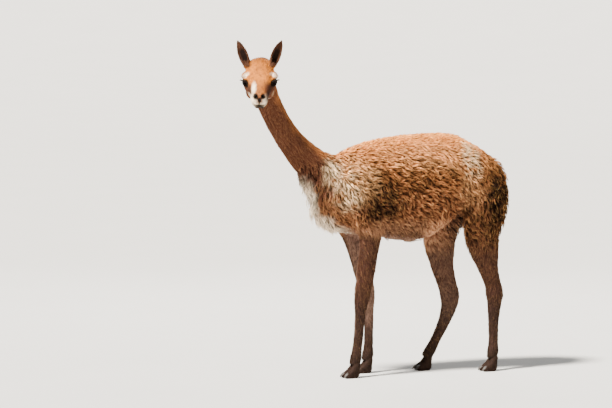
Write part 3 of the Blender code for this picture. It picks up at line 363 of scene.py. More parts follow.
def headRings(count=56, segments=56):
    # Ovals across the face, between top and bottom, with the lower half drawn in
    rows = np.array(headRows)
    rows = smoothRows(np.column_stack([rows[:, 0], 0 * rows[:, 0], 0 * rows[:, 0], rows[:, 1:]]), count)
    across, out = ovals(segments, rows[:, 7])
    middle, half = (rows[:, 4:5] + rows[:, 5:6]) / 2, (rows[:, 4:5] - rows[:, 5:6]) / 2
    narrow = np.where(out < 0, 1 + out * (1 - rows[:, 6:7]), 1.0)
    rings = np.stack([0 * across + rows[:, 0:1], middle + out * half, across * rows[:, 3:4] * narrow], axis=-1)
    return placed(rings, headFrame)


def earRings(side, count=34):
    # Crescent sections up an axis: an arc of the cup outside, the same arc less the wall inside
    ahead = Vector(facing())
    out = (headFrame.to_3x3() @ Vector((0, 0, 1))) * side
    axis = (Vector((0, 0, 1)) + out * math.tan(math.radians(ear["tilt"])) + ahead * ear["lean"]).normalized()
    face = ahead + out * math.tan(math.radians(ear["face"]))
    face = (face - axis * face.dot(axis)).normalized()
    across = axis.cross(face) * side
    root = headFrame @ Vector((ear["root"][0], ear["root"][1], side * ear["root"][2]))
    u = np.linspace(0, 1, count)
    at, shares = [0, 0.15, 0.38, 0.6, 0.8, 0.93, 1.0], [0.62, 0.82, 1.0, 0.92, 0.62, 0.30, 0.06]
    wide = ear["width"] * np.interp(u, at, shares)
    deep = ear["width"] * np.interp(u, [0, 0.2, 0.5, 0.8, 1.0], [0.75, 0.72, 0.55, 0.30, 0.05])
    spread = np.radians(np.interp(u, [0, 0.12, 0.3, 0.6, 1.0], [160, 140, 112, 98, 90]))
    wall = ear["wall"] * np.interp(u, [0, 0.7, 1.0], [1.0, 0.75, 0.25])
    curl = ear["length"] * 0.05 * np.sin(u * math.pi * 0.5) ** 2
    angle = spread[:, None] * np.linspace(-1, 1, ear["around"])
    outer = np.stack([np.sin(angle) * wide[:, None], -np.cos(angle) * deep[:, None]], axis=-1)
    within = -np.cos(angle) * (deep - wall)[:, None] + 0.25 * wall[:, None]
    inner = np.stack([np.sin(angle) * (wide - wall)[:, None] * 0.97, within], axis=-1)
    flat = np.concatenate([outer, inner[:, ::-1]], axis=1)
    middle = np.array(root) + np.outer(ear["length"] * u, np.array(axis)) - np.outer(curl, np.array(out))
    return middle[:, None] + flat[..., :1] * np.array(across) + flat[..., 1:] * np.array(face)


def ballRings(rings=26, segments=40):
    # A unit ball by its angle from the pole and the angle round it
    polar = np.linspace(0, np.pi, rings + 2)[1:-1, None]
    turn = np.linspace(0, 2 * np.pi, segments, endpoint=False)[None, :]
    return np.stack([np.sin(polar) * np.cos(turn), np.sin(polar) * np.sin(turn), np.cos(polar) + 0 * turn], axis=-1)


def volumeOf(points, triangles):  # a sixth of the triple products, summed
    a, b, c = (points[triangles[:, i]] for i in range(3))
    return dot(a, np.cross(b, c)).sum() / 6


def meshOf(name, points, triangles):
    # Arrays of points and triangles put straight into a mesh
    if volumeOf(points, triangles) < 0:
        triangles = triangles[:, ::-1]
    mesh = bpy.data.meshes.new(name)
    mesh.vertices.add(len(points))
    mesh.vertices.foreach_set("co", np.ascontiguousarray(points, np.float32).ravel())
    mesh.loops.add(3 * len(triangles))
    mesh.loops.foreach_set("vertex_index", np.ascontiguousarray(triangles, np.int32).ravel())
    mesh.polygons.add(len(triangles))
    mesh.polygons.foreach_set("loop_start", np.arange(0, 3 * len(triangles), 3, dtype=np.int32))
    mesh.polygons.foreach_set("use_smooth", np.ones(len(triangles), bool))
    mesh.update(calc_edges=True)
    return mesh


def objectOf(name, mesh):
    made = bpy.data.objects.new(name, mesh)
    bpy.context.scene.collection.objects.link(made)
    return made


def ringGrid(count, segments):  # the first corner of each cell of rings that close round, and its neighbour
    start, k = np.arange(count - 1)[:, None] * segments, np.arange(segments)[None, :]
    return (start + k).ravel(), (start + (k + 1) % segments).ravel()


def ringTriangles(count, segments):
    # Two triangles for each cell of a grid that closes round, and a fan over each end
    i, j = ringGrid(count, segments)
    k = np.arange(segments)
    first, last = count * segments, count * segments + 1
    end = (count - 1) * segments
    cells = [np.column_stack([i, j, j + segments]), np.column_stack([i, j + segments, i + segments])]
    fans = [
        np.column_stack([(k + 1) % segments, k, 0 * k + first]),
        np.column_stack([end + k, end + (k + 1) % segments, 0 * k + last]),
    ]
    return np.concatenate(cells + fans)


def closedRings(name, rings):  # rings of points as a closed mesh, with a point in the middle of each end
    points = np.vstack([rings.reshape(-1, 3), rings[0].mean(axis=0), rings[-1].mean(axis=0)])
    return objectOf(name, meshOf(name, points, ringTriangles(*rings.shape[:2])))


# A ball of given half sizes, turned and placed in a matrix's own frame
def ball(name, place, size, matrix=None, turn=(0.0, 0.0, 0.0), rings=26, segments=40):
    local = Matrix.Translation(place) @ Euler(turn).to_matrix().to_4x4() @ Matrix.Diagonal((*size, 1.0))
    return closedRings(name, placed(ballRings(rings, segments), (matrix or Matrix.Identity(4)) @ local))


def formTurn(turn, side):  # turns about x, then y, then z of the form itself
    x, y, z = (math.radians(t * s) for t, s in zip(turn, (side, side, 1)))
    return (Matrix.Rotation(x, 4, "X") @ Matrix.Rotation(y, 4, "Y") @ Matrix.Rotation(z, 4, "Z")).to_euler()


def meshArrays(mesh):  # its points, normals and triangles
    mesh.calc_loop_triangles()
    points = np.empty(len(mesh.vertices) * 3, np.float32)
    normals = np.empty(len(mesh.vertices) * 3, np.float32)
    triangles = np.empty(len(mesh.loop_triangles) * 3, np.int32)
    mesh.vertices.foreach_get("co", points)
    mesh.vertex_normals.foreach_get("vector", normals)
    mesh.loop_triangles.foreach_get("vertices", triangles)
    points, normals = (values.reshape(-1, 3).astype(float) for values in (points, normals))
    return points, normals, triangles.reshape(-1, 3).astype(np.int64)


def setPoints(mesh, points):
    mesh.vertices.foreach_set("co", points.astype(np.float32).ravel())
    mesh.update()


def setAttribute(mesh, name, values):
    mesh.attributes.new(name, "FLOAT", "POINT").data.foreach_set("value", values.astype(np.float32))


def merged(name, objects):
    # Several closed meshes as one mesh, with the objects removed
    points, triangles, count = [], [], 0
    for one in objects:
        p, _, t = meshArrays(one.data)
        points.append(p)
        triangles.append(t + count)
        count += len(p)
        bpy.data.objects.remove(one)
    return objectOf(name, meshOf(name, np.vstack(points), np.vstack(triangles)))


def settled(obj):  # the modifiers' result takes the mesh's place
    graph = bpy.context.evaluated_depsgraph_get()
    mesh = bpy.data.meshes.new_from_object(obj.evaluated_get(graph))
    obj.modifiers.clear()
    obj.data = mesh


def remeshed(obj, voxel, passes):  # overlapping meshes as one surface, smoothed in several passes
    remesh = obj.modifiers.new("one surface", "REMESH")
    remesh.mode = "VOXEL"
    remesh.voxel_size = voxel
    smooth = obj.modifiers.new("smooth", "SMOOTH")
    smooth.factor = 0.5
    smooth.iterations = passes
    settled(obj)


def cut(obj, other, operation):  # a union or difference with another closed mesh, which goes
    change = obj.modifiers.new("change", "BOOLEAN")
    change.object = other
    change.operation = operation
    change.solver = "MANIFOLD"
    settled(obj)
    bpy.data.objects.remove(other)


def legAt(points):  # how far a point is on a leg: near a leg's middle line for the leg's thickness there, and low
    lines = np.vstack([smoothRows(rows, 60) for rows in legRows.values()])
    index = nearest(points, lines[:, :3])
    away = np.linalg.norm(points - lines[index, :3], axis=1) / lines[index, 3:6].mean(axis=1)
    x, _, z = points.T
    low = np.where(x < 0.0, 1 - ramp(z, 0.55, 0.64), 1 - ramp(z, 0.45, 0.60))
    return np.maximum(ramp(-away, -1.80, -1.40), 1 - ramp(z, 0.40, 0.46)) * low


def fleeceAt(points):  # how far a point belongs to the woolly trunk
    x = points[:, 0]
    return ramp(x, -0.57, -0.45) * (1 - legAt(points)) * ramp(-x, -0.40, -0.325)


def chestAt(points):  # how far a point belongs to the long hair of the chest
    x, y, z = points.T
    return ramp(-x, 0.41, 0.47) * ramp(-z, -0.87, -0.80) * ramp(z, 0.54, 0.60) * ramp(-np.abs(y), -0.10, -0.07)


def neckAt(points):  # how far a point is on the neck, from the chest up to the head
    x, _, z = points.T
    return ramp(-x, 0.42, 0.50) * ramp(z, 0.78, 0.88) * (1 - headAt(points))


def headAt(points):  # the head's side of a plane behind the throat
    ahead, up, _ = headLocal(points).T
    return ramp(ahead * 0.55 + (up + 0.078) * 0.83 + 0.041, -0.02, 0.02) * ramp(points[:, 2], 1.0, 1.03)


def thinner(rows, share):  # the rows' sections drawn in by a share
    return [(*row[:3], *(v * share for v in row[3:6]), row[6]) for row in rows]


def bodySkin():
    # Trunk, neck and legs as one surface, drawn in along its normals by the depth of the coat at each point
    neck = neckRows[:8] + thinner(neckRows[8:], skinBuild["join"])  # its end stays inside the head
    parts = [closedRings("trunk", trunkRings()), closedRings("neck", pathRings(neck, 60, 48))]
    parts += [closedRings("leg", pathRings(rows, 70, 36)) for rows in legRows.values()]
    body = merged("skin", parts)
    remeshed(body, skinBuild["bodyVoxel"], skinBuild["bodySmooth"])
    points, normals, _ = meshArrays(body.data)
    fleece, chest, neck = fleeceAt(points), chestAt(points), neckAt(points)
    depth = coatDepth["leg"] + (coatDepth["fleece"] - coatDepth["leg"]) * fleece
    depth += (coatDepth["neck"] - depth) * neck
    depth += (coatDepth["chest"] - depth) * chest
    points -= normals * depth[:, None]
    setPoints(body.data, points)
    return body


def curveDistance(points, line):  # from each point to the nearest of a line's points
    return np.sqrt(np.maximum(((points[:, None] - line[None]) ** 2).sum(axis=2).min(axis=1), 0))


def mouthLine(surface):
    # Points on the muzzle along the closed lips, from one corner round the front to the other
    found = []
    for angle in np.radians(np.linspace(-nose["mouthSweep"], nose["mouthSweep"], 65)):
        rise = nose["mouthRise"] * (angle / math.radians(nose["mouthSweep"])) ** 2
        start = headFrame @ Vector((nose["mouthMiddle"], nose["mouthHeight"] + rise, 0.0))
        way = headFrame.to_3x3() @ Vector((math.cos(angle), 0.0, math.sin(angle)))
        hit = surface.ray_cast(start + way * 0.15, -way)[0]
        if hit:
            found.append(hit)
    return headLocal(np.array(found))


def surfaceOf(mesh):  # for casting rays at it
    return BVHTree.FromPolygons([v.co.copy() for v in mesh.vertices], [tuple(p.vertices) for p in mesh.polygons])


def softened(points, mesh, weight, passes):
    # Each point moves halfway to the mean of its neighbours, by its weight, again and again
    ends = np.empty(2 * len(mesh.edges), np.int32)
    mesh.edges.foreach_get("vertices", ends)
    one, two = np.concatenate([ends[::2], ends[1::2]]), np.concatenate([ends[1::2], ends[::2]])
    count = np.maximum(np.bincount(one, minlength=len(points)), 1)
    for _ in range(passes):
        mean = np.column_stack([np.bincount(one, points[two, i], len(points)) for i in range(3)]) / count[:, None]
        points = points + (mean - points) * (0.5 * weight)[:, None]
    return points


def headSkin():
    # Skull, nape, lids and forms as one surface, drawn in by the coat's depth and by its creases, with eyes and
    # nostrils cut out
    nape = thinner(neckRows[6:7], skinBuild["join"]) + neckRows[7:]
    parts = [closedRings("skull", headRings()), closedRings("nape", pathRings(nape, 40, 48))]
    for side in (-1, 1):
        parts.append(ball("lids", (0, 0, 0), [eye["radius"] + eye["lid"]] * 3, eyeMatrix(side)))
        for place, size, turn in headForms:
            at = (place[0], place[1], side * place[2])
            parts.append(ball("form", at, size, headFrame, formTurn(turn, side)))
    head = merged("head", parts)
    remeshed(head, skinBuild["headVoxel"], skinBuild["headSmooth"])
    points, normals, _ = meshArrays(head.data)
    local = headLocal(points)
    lips = mouthLine(surfaceOf(head.data))
    bare = np.maximum(ramp(local[:, 0], 0.085, 0.115), 1 - ramp(eyeDistance(points), 0.022, 0.030))
    depth = coatDepth["face"] * (1 - bare) + (coatDepth["neck"] - coatDepth["face"]) * neckAt(points)
    # The mouth is a groove along its line, with a fold at each corner
    deep, wide = creases["mouth"]
    depth += deep * np.exp(-((curveDistance(local, lips) / wide) ** 2))
    # The upper lip is split from the nose down to the mouth
    deep, wide = creases["lip"]
    split = np.exp(-((local[:, 2] / wide) ** 2)) * ramp(local[:, 0], 0.110, 0.118)
    depth += deep * split * ramp(local[:, 1], -0.029, -0.024) * ramp(-local[:, 1], 0.006, 0.012)
    # A crease over each upper lid, a soft one under each lower lid
    for side in (-1, 1):
        seen = placed(points, eyeMatrix(side).inverted())
        reach = np.sqrt((seen[:, 0] / 1.22) ** 2 + seen[:, 1] ** 2)
        front = ramp(seen[:, 2], 0.002, 0.008)
        (upper, wide, at), (lower, wideLow, atLow) = creases["upperLid"], creases["lowerLid"]
        over = np.exp(-(((reach - at) / wide) ** 2)) * ramp(seen[:, 1], 0.002, 0.008)
        under = np.exp(-(((reach - atLow) / wideLow) ** 2)) * ramp(-seen[:, 1], 0.004, 0.010)
        depth += front * (upper * over + lower * under)
    points -= normals * depth[:, None]
    # The back of the head runs smoothly into the neck
    points = softened(points, head.data, ramp(-local[:, 0], 0.040, 0.070), skinBuild["napePasses"])
    setPoints(head.data, points)
    for side in (-1, 1):
        look = eyeMatrix(side)
        cut(head, ball("socket", (0, 0, 0), [eye["radius"] + eye["gap"]] * 3, look), "DIFFERENCE")
        cut(head, ball("opening", eye["openingPlace"], eye["opening"], look), "DIFFERENCE")
        at = (nose["place"][0], nose["place"][1], side * nose["place"][2])
        turn = (math.radians(side * nose["turn"]), 0.0, 0.0)
        cut(head, ball("nostril", at, nose["size"], headFrame, turn, 16, 24), "DIFFERENCE")
    return head


def footMatrix(place):  # x ahead along the foot, z up, at the ankle's place on the floor
    x, y, turn = place
    return Matrix.Translation((x, y, 0.0)) @ Matrix.Rotation(math.pi + math.radians(turn), 4, "Z")


# Toes: half their distance, turn outwards in degrees, squareness, height of the sole, the pastern's thickness as
# a share of the leg's, how much lower the finished foot is and its lowest point
toes = {
    "apart": 0.0118,
    "splay": 6,
    "squareness": 2.3,
    "sole": 0.0004,
    "pastern": (0.62, 0.80, 0.94, 0.96),
    "down": 0.0012,
    "lowest": 0.0003,
}


def toeMatrix(place, side):  # the same for one toe, beside the foot's middle line
    splay = Matrix.Rotation(side * math.radians(toes["splay"]), 4, "Z")
    return footMatrix(place) @ Matrix.Translation((0, side * toes["apart"], 0)) @ splay


def toeRings(count=22, segments=24):
    # Sections along the toe's path, as in pathRings
    rows = np.array(toeRows)
    rows = np.column_stack([rows[:, 0], 0 * rows[:, 0], rows[:, 1:], np.full(len(rows), toes["squareness"])])
    rings = pathRings(rows, count, segments)
    rings[..., 2] = np.maximum(rings[..., 2], toes["sole"])  # flat soles at the floor
    return rings


def footSkin(name):
    # The pastern and two toes as one smooth surface, with the soles cut flat at the floor
    rows = legRows[name][-4:]
    rows = [thinner([row], share)[0] for row, share in zip(rows, toes["pastern"])]
    parts = [closedRings("pastern", pathRings(rows, 30, 32))]
    for side in (-1, 1):
        parts.append(closedRings("toe", placed(toeRings(), toeMatrix(feet[name], side))))
    made = merged("foot", parts)
    remeshed(made, skinBuild["footVoxel"], skinBuild["footSmooth"])
    points, _, _ = meshArrays(made.data)
    points[:, 2] = np.maximum(points[:, 2] - toes["down"], toes["lowest"])
    setPoints(made.data, points)
    return made


skin = bodySkin()
print("body skin", len(skin.data.polygons))
headPart = headSkin()
print("head skin", len(headPart.data.polygons))
cut(skin, headPart, "UNION")
for side in (-1, 1):
    cut(skin, closedRings("ear", earRings(side)), "UNION")
tail = thinner(tailRows[:1], 0.4) + thinner(tailRows[1:3], 0.5) + thinner(tailRows[3:4], 0.75) + tailRows[4:]
tail = [(row[0] - skinBuild["tailIn"], *row[1:]) for row in tail]
cut(skin, closedRings("tail", pathRings(tail, 30, 18)), "UNION")
for place in feet:
    cut(skin, footSkin(place), "UNION")
skinPoints, skinNormals, skinTriangles = meshArrays(skin.data)
print("skin", len(skinTriangles), skinPoints.min(axis=0) + offset, skinPoints.max(axis=0) + offset)


def regions(points):
    # Shares of each kind of coat at each point, which sum to 1
    x, y, z = points.T
    head, chest = headAt(points), chestAt(points)
    neck = ramp(-x, 0.43, 0.53) * ramp(z, 0.76, 0.86) * (1 - head) * (1 - chest)
    tail = ramp(x, 0.312, 0.324) * ramp(z, 0.59, 0.60) * ramp(-z, -0.80, -0.77) * ramp(-np.abs(y), -0.055, -0.045)
    leg = legAt(points) * (1 - tail) * (1 - chest)
    fleece = (1 - leg) * (1 - head) * (1 - neck) * (1 - chest) * (1 - tail)
    belly = fleece * (1 - ramp(z, 0.57, 0.64)) * ramp(-x, -0.14, -0.05)
    fleece = fleece - belly
    found = {"head": head, "neck": neck, "chest": chest, "tail": tail, "fleece": fleece, "belly": belly, "leg": leg}
    total = sum(found.values())
    return {kind: share / total for kind, share in found.items()}


# Each kind of coat: tufts for each square metre, length, width, thickness, lift, and how far the tufts' tips
# gather to the tip of their lock
coats = {
    "fleece": {"count": 70000, "length": 0.030, "width": 0.0035, "thick": 0.0022, "lift": 0.48, "pull": 0.82},
    "belly": {"count": 50000, "length": 0.044, "width": 0.0036, "thick": 0.0020, "lift": 0.32, "pull": 0.80},
    "neck": {"count": 118000, "length": 0.0180, "width": 0.0024, "thick": 0.0012, "lift": 0.17, "pull": 0.50},
    "head": {"count": 240000, "length": 0.0095, "width": 0.0013, "thick": 0.0007, "lift": 0.120, "pull": 0.25},
    "leg": {"count": 90000, "length": 0.0140, "width": 0.0024, "thick": 0.0011, "lift": 0.17, "pull": 0.45},
    "chest": {"count": 46000, "length": 0.060, "width": 0.0044, "thick": 0.0022, "lift": 0.28, "pull": 0.75},
    "tail": {"count": 60000, "length": 0.038, "width": 0.0036, "thick": 0.0018, "lift": 0.09, "pull": 0.70},
}
# Locks: how far apart where the coat is loose and where it is fine, how much longer than wide, how far they bend
# and stand out, how much less of it where the coat is smooth, and the size of a tuft on the bake map
clumps = {
    "spacing": 0.0094,
    "fine": 0.0090,
    "stretch": 2.0,
    "fineStretch": 3.4,
    "bend": 0.34,
    "bulge": 0.62,
    "smooth": 0.65,
    "seed": 21,
    "patch": 0.003,
}
# The slow turning of the coat: waves for each metre and how strong each is
swirls = {"seed": 8, "waves": (22, 30, 38, 52, 70), "strength": (0.24, 0.22, 0.20, 0.17, 0.14)}
# A tuft's curve as shares of its length: sway, how deep its root sits and the most for that, how far along and up
# its middle and its tip are, how much less it gathers along the lock than across it, and its lowest point
curve = {
    "sway": 0.14,
    "sunk": 0.11,
    "deepest": 0.0025,
    "middle": (0.45, 0.95),
    "tip": (0.97, 0.60),
    "less": 0.65,
    "lowest": 0.0015,
}
# Chance, as the lowest and highest share or as a spread: of locks first, then of tufts
chance = {
    "lockTurn": 0.36,
    "lockLength": (0.65, 1.30),
    "lockLift": (0.45, 1.55),
    "turn": 0.16,
    "length": (0.80, 1.15),
    "width": (0.75, 1.30),
    "lift": (0.75, 1.30),
    "pull": (0.75, 1.15),
    "tip": 0.0016,
}
# A tuft's tone: how much comes from its lock, from chance, from chance where the coat is loose, and how much painted
# shade darkens it towards its lock's edge, from a share of the lock's half width on and as far past it at most; then
# how much painted light brightens the top of the back
toning = {"lock": 0.60, "tuft": 0.22, "loose": 0.28, "edge": 0.95, "from": 0.55, "most": 1.2, "back": 0.75}
# Where no tuft grows: past the eyeball, in the rim of the lids, round a nostril, along the mouth, near the floor
# and in the cup of an ear
bareReach = {
    "eye": 0.0016,
    "rim": (1.25, 0.0150),
    "nostril": ((1.3, 0.8, 1.0), 0.0092),
    "mouth": 0.0032,
    "floor": 0.006,
    "cup": 0.35,
}
# The white tufts over the eyes
browTuft = {"place": (0.003, 0.031, 0.054), "size": (0.016, 0.012, 0.014)}


def field(shares, name):  # one setting blended over the kinds of coat
    return sum(share * coats[kind][name] for kind, share in shares.items())


neckZ, neckY = [row[2] for row in neckRows], [row[1] for row in neckRows]


def browAt(local):  # the white tufts over each eye
    at = np.column_stack([local[:, 0], local[:, 1], np.abs(local[:, 2])]) - np.array(browTuft["place"])
    return np.exp(-((at / np.array(browTuft["size"])) ** 2).sum(axis=1))


def lieAt(points, normals, shares):
    # The way the hair lies: back and down the trunk, down the neck and legs, from the nose back on the head
    x, y, z = points.T
    side = np.clip(y / 0.03, -1, 1)
    zero = np.zeros(len(points))
    top = np.clip(normals[:, 2], 0, 1)
    rump = ramp(x, 0.16, 0.27)
    fall = np.interp(z, [0.60, 0.72, 0.84, 0.93], [1.15, 0.85, 0.42, 0.16])
    fall = fall + 0.45 * ramp(-x, 0.30, 0.42) + 0.6 * rump
    trunk = np.column_stack([0.85 - 0.60 * rump, side * 0.40 * top, -fall])
    neckX = np.interp(z, [0.75, 0.90, 1.0, 1.2], [0.85, 0.70, 0.50, 0.22])
    neck = np.column_stack([neckX, zero, -np.sqrt(1 - neckX**2)])
    down = np.column_stack([zero + 0.10, zero, zero - 1])
    axes = np.array(headFrame.to_3x3())
    local = headLocal(points)
    cheek = ramp(-local[:, 1], 0.0, 0.05)
    brow, out = browAt(local), np.clip(local[:, 2] / 0.02, -1, 1)
    headWay = np.column_stack([-1 + 0.7 * brow, 0.25 - 0.75 * cheek - 0.8 * brow, out * (0.25 + 1.6 * brow)]) @ axes.T
    behind = ramp(-local[:, :1], 0.045, 0.085)  # down the back of the head into the neck
    headWay = headWay * (1 - behind) + neck * behind
    onEar = earAt(points)[:, None]  # up the ears to their tips
    upEar = np.column_stack([zero, np.sign(y - np.interp(z, neckZ, neckY)) * 0.4, zero + 1])
    headWay = headWay * (1 - onEar) + upEar * onEar
    hanging = shares["leg"] + shares["tail"] + shares["chest"]
    parts = [(trunk, shares["fleece"] + shares["belly"]), (neck, shares["neck"]), (down, hanging)]
    way = sum(way * share[:, None] for way, share in [*parts, (headWay, shares["head"])])
    return unit(without(way, normals))


def spread(count, rng, wanted):
    # Random places on the skin, as many for each square metre as count says, then one at most in each small cell
    a, b, c = (skinPoints[skinTriangles[:, i]] for i in range(3))
    across = np.cross(b - a, c - a)
    area = np.linalg.norm(across, axis=1) / 2
    middle = (a + b + c) / 3
    share = area * count(middle) * wanted(middle, unit(across))
    total = int(share.sum() * 1.7)
    pick = rng.choice(len(area), total, p=share / share.sum())
    u, v = rng.random(total), rng.random(total)
    over = u + v > 1
    u, v = np.where(over, 1 - u, u)[:, None], np.where(over, 1 - v, v)[:, None]
    corners = skinTriangles[pick]
    spots = a[pick] + u * (b - a)[pick] + v * (c - a)[pick]
    normals = unit(
        skinNormals[corners[:, 0]] * (1 - u - v) + skinNormals[corners[:, 1]] * u + skinNormals[corners[:, 2]] * v
    )
    cell = 0.80 / np.sqrt(np.maximum(count(spots), 1.0))
    level = np.round(np.log2(cell) * 4) / 4
    grid = np.floor(spots / (2.0**level)[:, None]).astype(np.int64)
    key = ((grid[:, 0] * 4099 + grid[:, 1]) * 4099 + grid[:, 2]) * 64 + np.round(level * 4).astype(np.int64)
    first = np.unique(key, return_index=True)[1]
    first.sort()
    return spots[first], normals[first]


def nearestLock(points, centres, ways, stretch, reach=0.05, block=1500):
    # As nearest, but a distance along a lock's way counts for its length over the stretch. Points are taken in
    # order of x, against the centres within reach of them
    order, rank = np.argsort(points[:, 0]), np.argsort(centres[:, 0])
    size, start = (centres**2).sum(axis=1), dot(centres, ways)
    found = np.empty(len(points), np.int64)
    for i in range(0, len(points), block):
        now = order[i : i + block]
        part = points[now]
        low, high = np.searchsorted(centres[rank, 0], [part[0, 0] - reach, part[-1, 0] + reach])
        c = rank[low:high]
        far = size[c] - 2 * (part @ centres[c].T) - (1 - 1 / stretch[c] ** 2) * (part @ ways[c].T - start[c]) ** 2
        found[now] = c[np.argmin(far, axis=1)]
    return found


def tuftTriangles(count, rings, sides):
    # For each tuft: a root face, bands between its rings and a point over the last one
    j = np.arange(sides)
    k = (j + 1) % sides
    bands = [
        np.concatenate([np.column_stack([j, k, k + sides]), np.column_stack([j, k + sides, j + sides])]) + r * sides
        for r in range(rings - 1)
    ]
    tip = np.column_stack([j, k, 0 * j + sides]) + (rings - 1) * sides
    tip[:, 2] = rings * sides
    root = np.array([(0, i + 1, i) for i in range(1, sides - 1)])
    one = np.concatenate([root, *bands, tip])
    return (one[None] + (np.arange(count) * (rings * sides + 1))[:, None, None]).reshape(-1, 3)


def growTufts(roots, normals, ways, size, tips, pull, bend, rng, rings=2, sides=3):
    # Each tuft follows a quadratic curve from its root, over a raised middle, to its tip:
    # (1-u)2 root + 2u(1-u) middle + u2 tip. Its section is a flat triangle or diamond that narrows to the tip
    length, width, thick, lift = (v[:, None] for v in size)
    across = np.cross(normals, ways)
    sway = rng.uniform(-curve["sway"], curve["sway"], (len(roots), 1)) * length
    bend = bend[:, None] * length
    start = roots - normals * np.minimum(curve["deepest"], curve["sunk"] * length)
    along, up = curve["middle"]
    middle = roots + ways * length * along + normals * length * lift * up + across * (sway * 0.3 + bend)
    along, up = curve["tip"]
    end = roots + ways * length * along + normals * length * lift * up + across * (sway - 0.6 * bend)
    # Tips gather to their lock's tip, less along the lock than across it
    draw = without((tips - end) * pull[:, None], ways, curve["less"])
    middle, end = middle + draw * 0.45, end + draw
    u = np.linspace(0, 1, rings + 1)[None, :, None] ** 0.9
    line = start[:, None] * (1 - u) ** 2 + middle[:, None] * 2 * u * (1 - u) + end[:, None] * u**2
    wide = np.interp(u[0, :-1, 0], [0, 0.35, 0.7, 1.0], [0.85, 1.0, 0.66, 0.0])[None, :, None]
    angle = np.linspace(0, 2 * np.pi, sides, endpoint=False) + (np.pi / 2 if sides == 3 else 0)
    ring = line[:, :-1, None] + (
        across[:, None, None] * (np.cos(angle)[None, None, :, None] * (width[:, None] * wide * 0.5)[..., None])
        + normals[:, None, None] * (np.sin(angle)[None, None, :, None] * (thick[:, None] * wide * 0.5)[..., None])
    )
    points = np.concatenate([ring.reshape(len(roots), -1, 3), line[:, -1:]], axis=1)
    points[..., 2] = np.maximum(points[..., 2], curve["lowest"])  # nothing goes into the floor
    grow = np.concatenate([np.repeat(u[0, :-1, 0], sides), [1.0]])
    shift = np.concatenate([np.tile(np.cos(angle), rings) * 0.5, [0.0]])
    return points, grow, shift


def coatPiece(name, points, grow, shift, chart, rings, sides, **values):
    # One mesh of many tufts, with how far along its tuft each point is, each tuft's values, and the map for baking
    count, each = points.shape[:2]
    mesh = meshOf(name, points.reshape(-1, 3) + offset, tuftTriangles(count, rings, sides))
    setAttribute(mesh, "grow", np.tile(grow, count))
    for key, value in values.items():
        setAttribute(mesh, key, np.repeat(value, each))
    across, along = (np.clip(chart[:, i : i + 1], 0, 1) * 0.99 for i in (0, 1))
    patch = clumps["patch"]
    flat = np.stack([across + 0.005 + shift[None, :] * patch, along + 0.003 + grow[None, :] * patch], axis=-1)
    corner = np.empty(len(mesh.loops), np.int32)
    mesh.loops.foreach_get("vertex_index", corner)
    layer = mesh.uv_layers.new(name="OFBake")
    layer.data.foreach_set("uv", flat.reshape(-1, 2)[corner].astype(np.float32).ravel())
    print(name, count, "tufts", len(mesh.polygons), "triangles")
    return objectOf(name, mesh)


def bodyChart(points):
    # An unwrap of the trunk and neck: distance along the body against the angle round its middle line
    x, y, z = points.T
    middle = np.interp(x, [-0.74, -0.55, -0.45, -0.30, 0.33], [1.20, 0.90, 0.80, 0.74, 0.745])
    turn = np.arctan2(y, z - middle) / (2 * np.pi) + 0.5
    along = np.where(x < -0.45, -0.45 - np.hypot(x + 0.45, np.minimum(z - 0.78, 0.6)), x)
    return np.column_stack([(along + 1.0) / 1.36, turn])


def legChart(points):
    # An unwrap of the legs: height against the angle round each leg, a column for each leg
    x, y, z = points.T
    found = np.zeros((len(points), 2))
    for i, rows in enumerate(legRows.values()):
        rows = np.array(rows)[::-1]
        centreX, centreY = np.interp(z, rows[:, 2], rows[:, 0]), np.interp(z, rows[:, 2], rows[:, 1])
        near = (np.sign(y) == np.sign(rows[0, 1])) & ((x < 0.0) == (rows[3, 0] < 0.0))
        turn = np.arctan2(y - centreY, x - centreX) / (2 * np.pi) + 0.5
        found[near] = np.column_stack([(i + turn) / 4, z / 0.85])[near]
    return found


def headChart(points):
    # An unwrap of the head: along the face against the angle round it
    local = headLocal(points)
    turn = np.arctan2(local[:, 2], local[:, 1] + 0.01) / (2 * np.pi) + 0.5
    return np.column_stack([(local[:, 0] + 0.20) / 0.34, turn])


def earCupAt(points, normals):
    # 1 on the inner faces of the ears: above the crown and facing ahead
    local = headLocal(points)
    ahead, around = np.array(facing()), ear["around"]
    found = np.zeros(len(points))
    for side in (-1, 1):
        rings = earRings(side)
        middle = rings[:, :around].mean(axis=1)
        index = nearest(points, middle)
        out = points - middle[index]
        away = np.linalg.norm(out, axis=1)
        toward = dot(normals, -out) / np.maximum(away, 1e-6)
        close = (away < 0.024) * ramp(index, 5, 7)
        across = (rings[:, around - 4] - rings[:, 3])[index] / 2
        wide = np.linalg.norm(across, axis=1)
        close *= 1 - ramp(np.abs(dot(out, across)) / wide**2, 0.45, 0.95)
        found = np.maximum(found, close * ramp(toward, 0.0, 0.3) * ramp(normals @ ahead, -0.2, 0.1))
    return found * ramp(local[:, 1], 0.050, 0.060)


def earAt(points):  # 1 on the ears, from a little above their roots
    found = np.zeros(len(points))
    for side in (-1, 1):
        rings = earRings(side)
        middle = rings.mean(axis=1)
        close = np.linalg.norm(points - middle[nearest(points, middle)], axis=1) < 0.030
        found = np.maximum(found, close)
    x, y, z = headLocal(points).T
    beside = ramp(np.abs(z), 0.033, 0.042) * ramp(y, 0.036, 0.046) * ramp(-x, 0.02, 0.035)
    return found * np.maximum(ramp(y, 0.058, 0.066), beside)


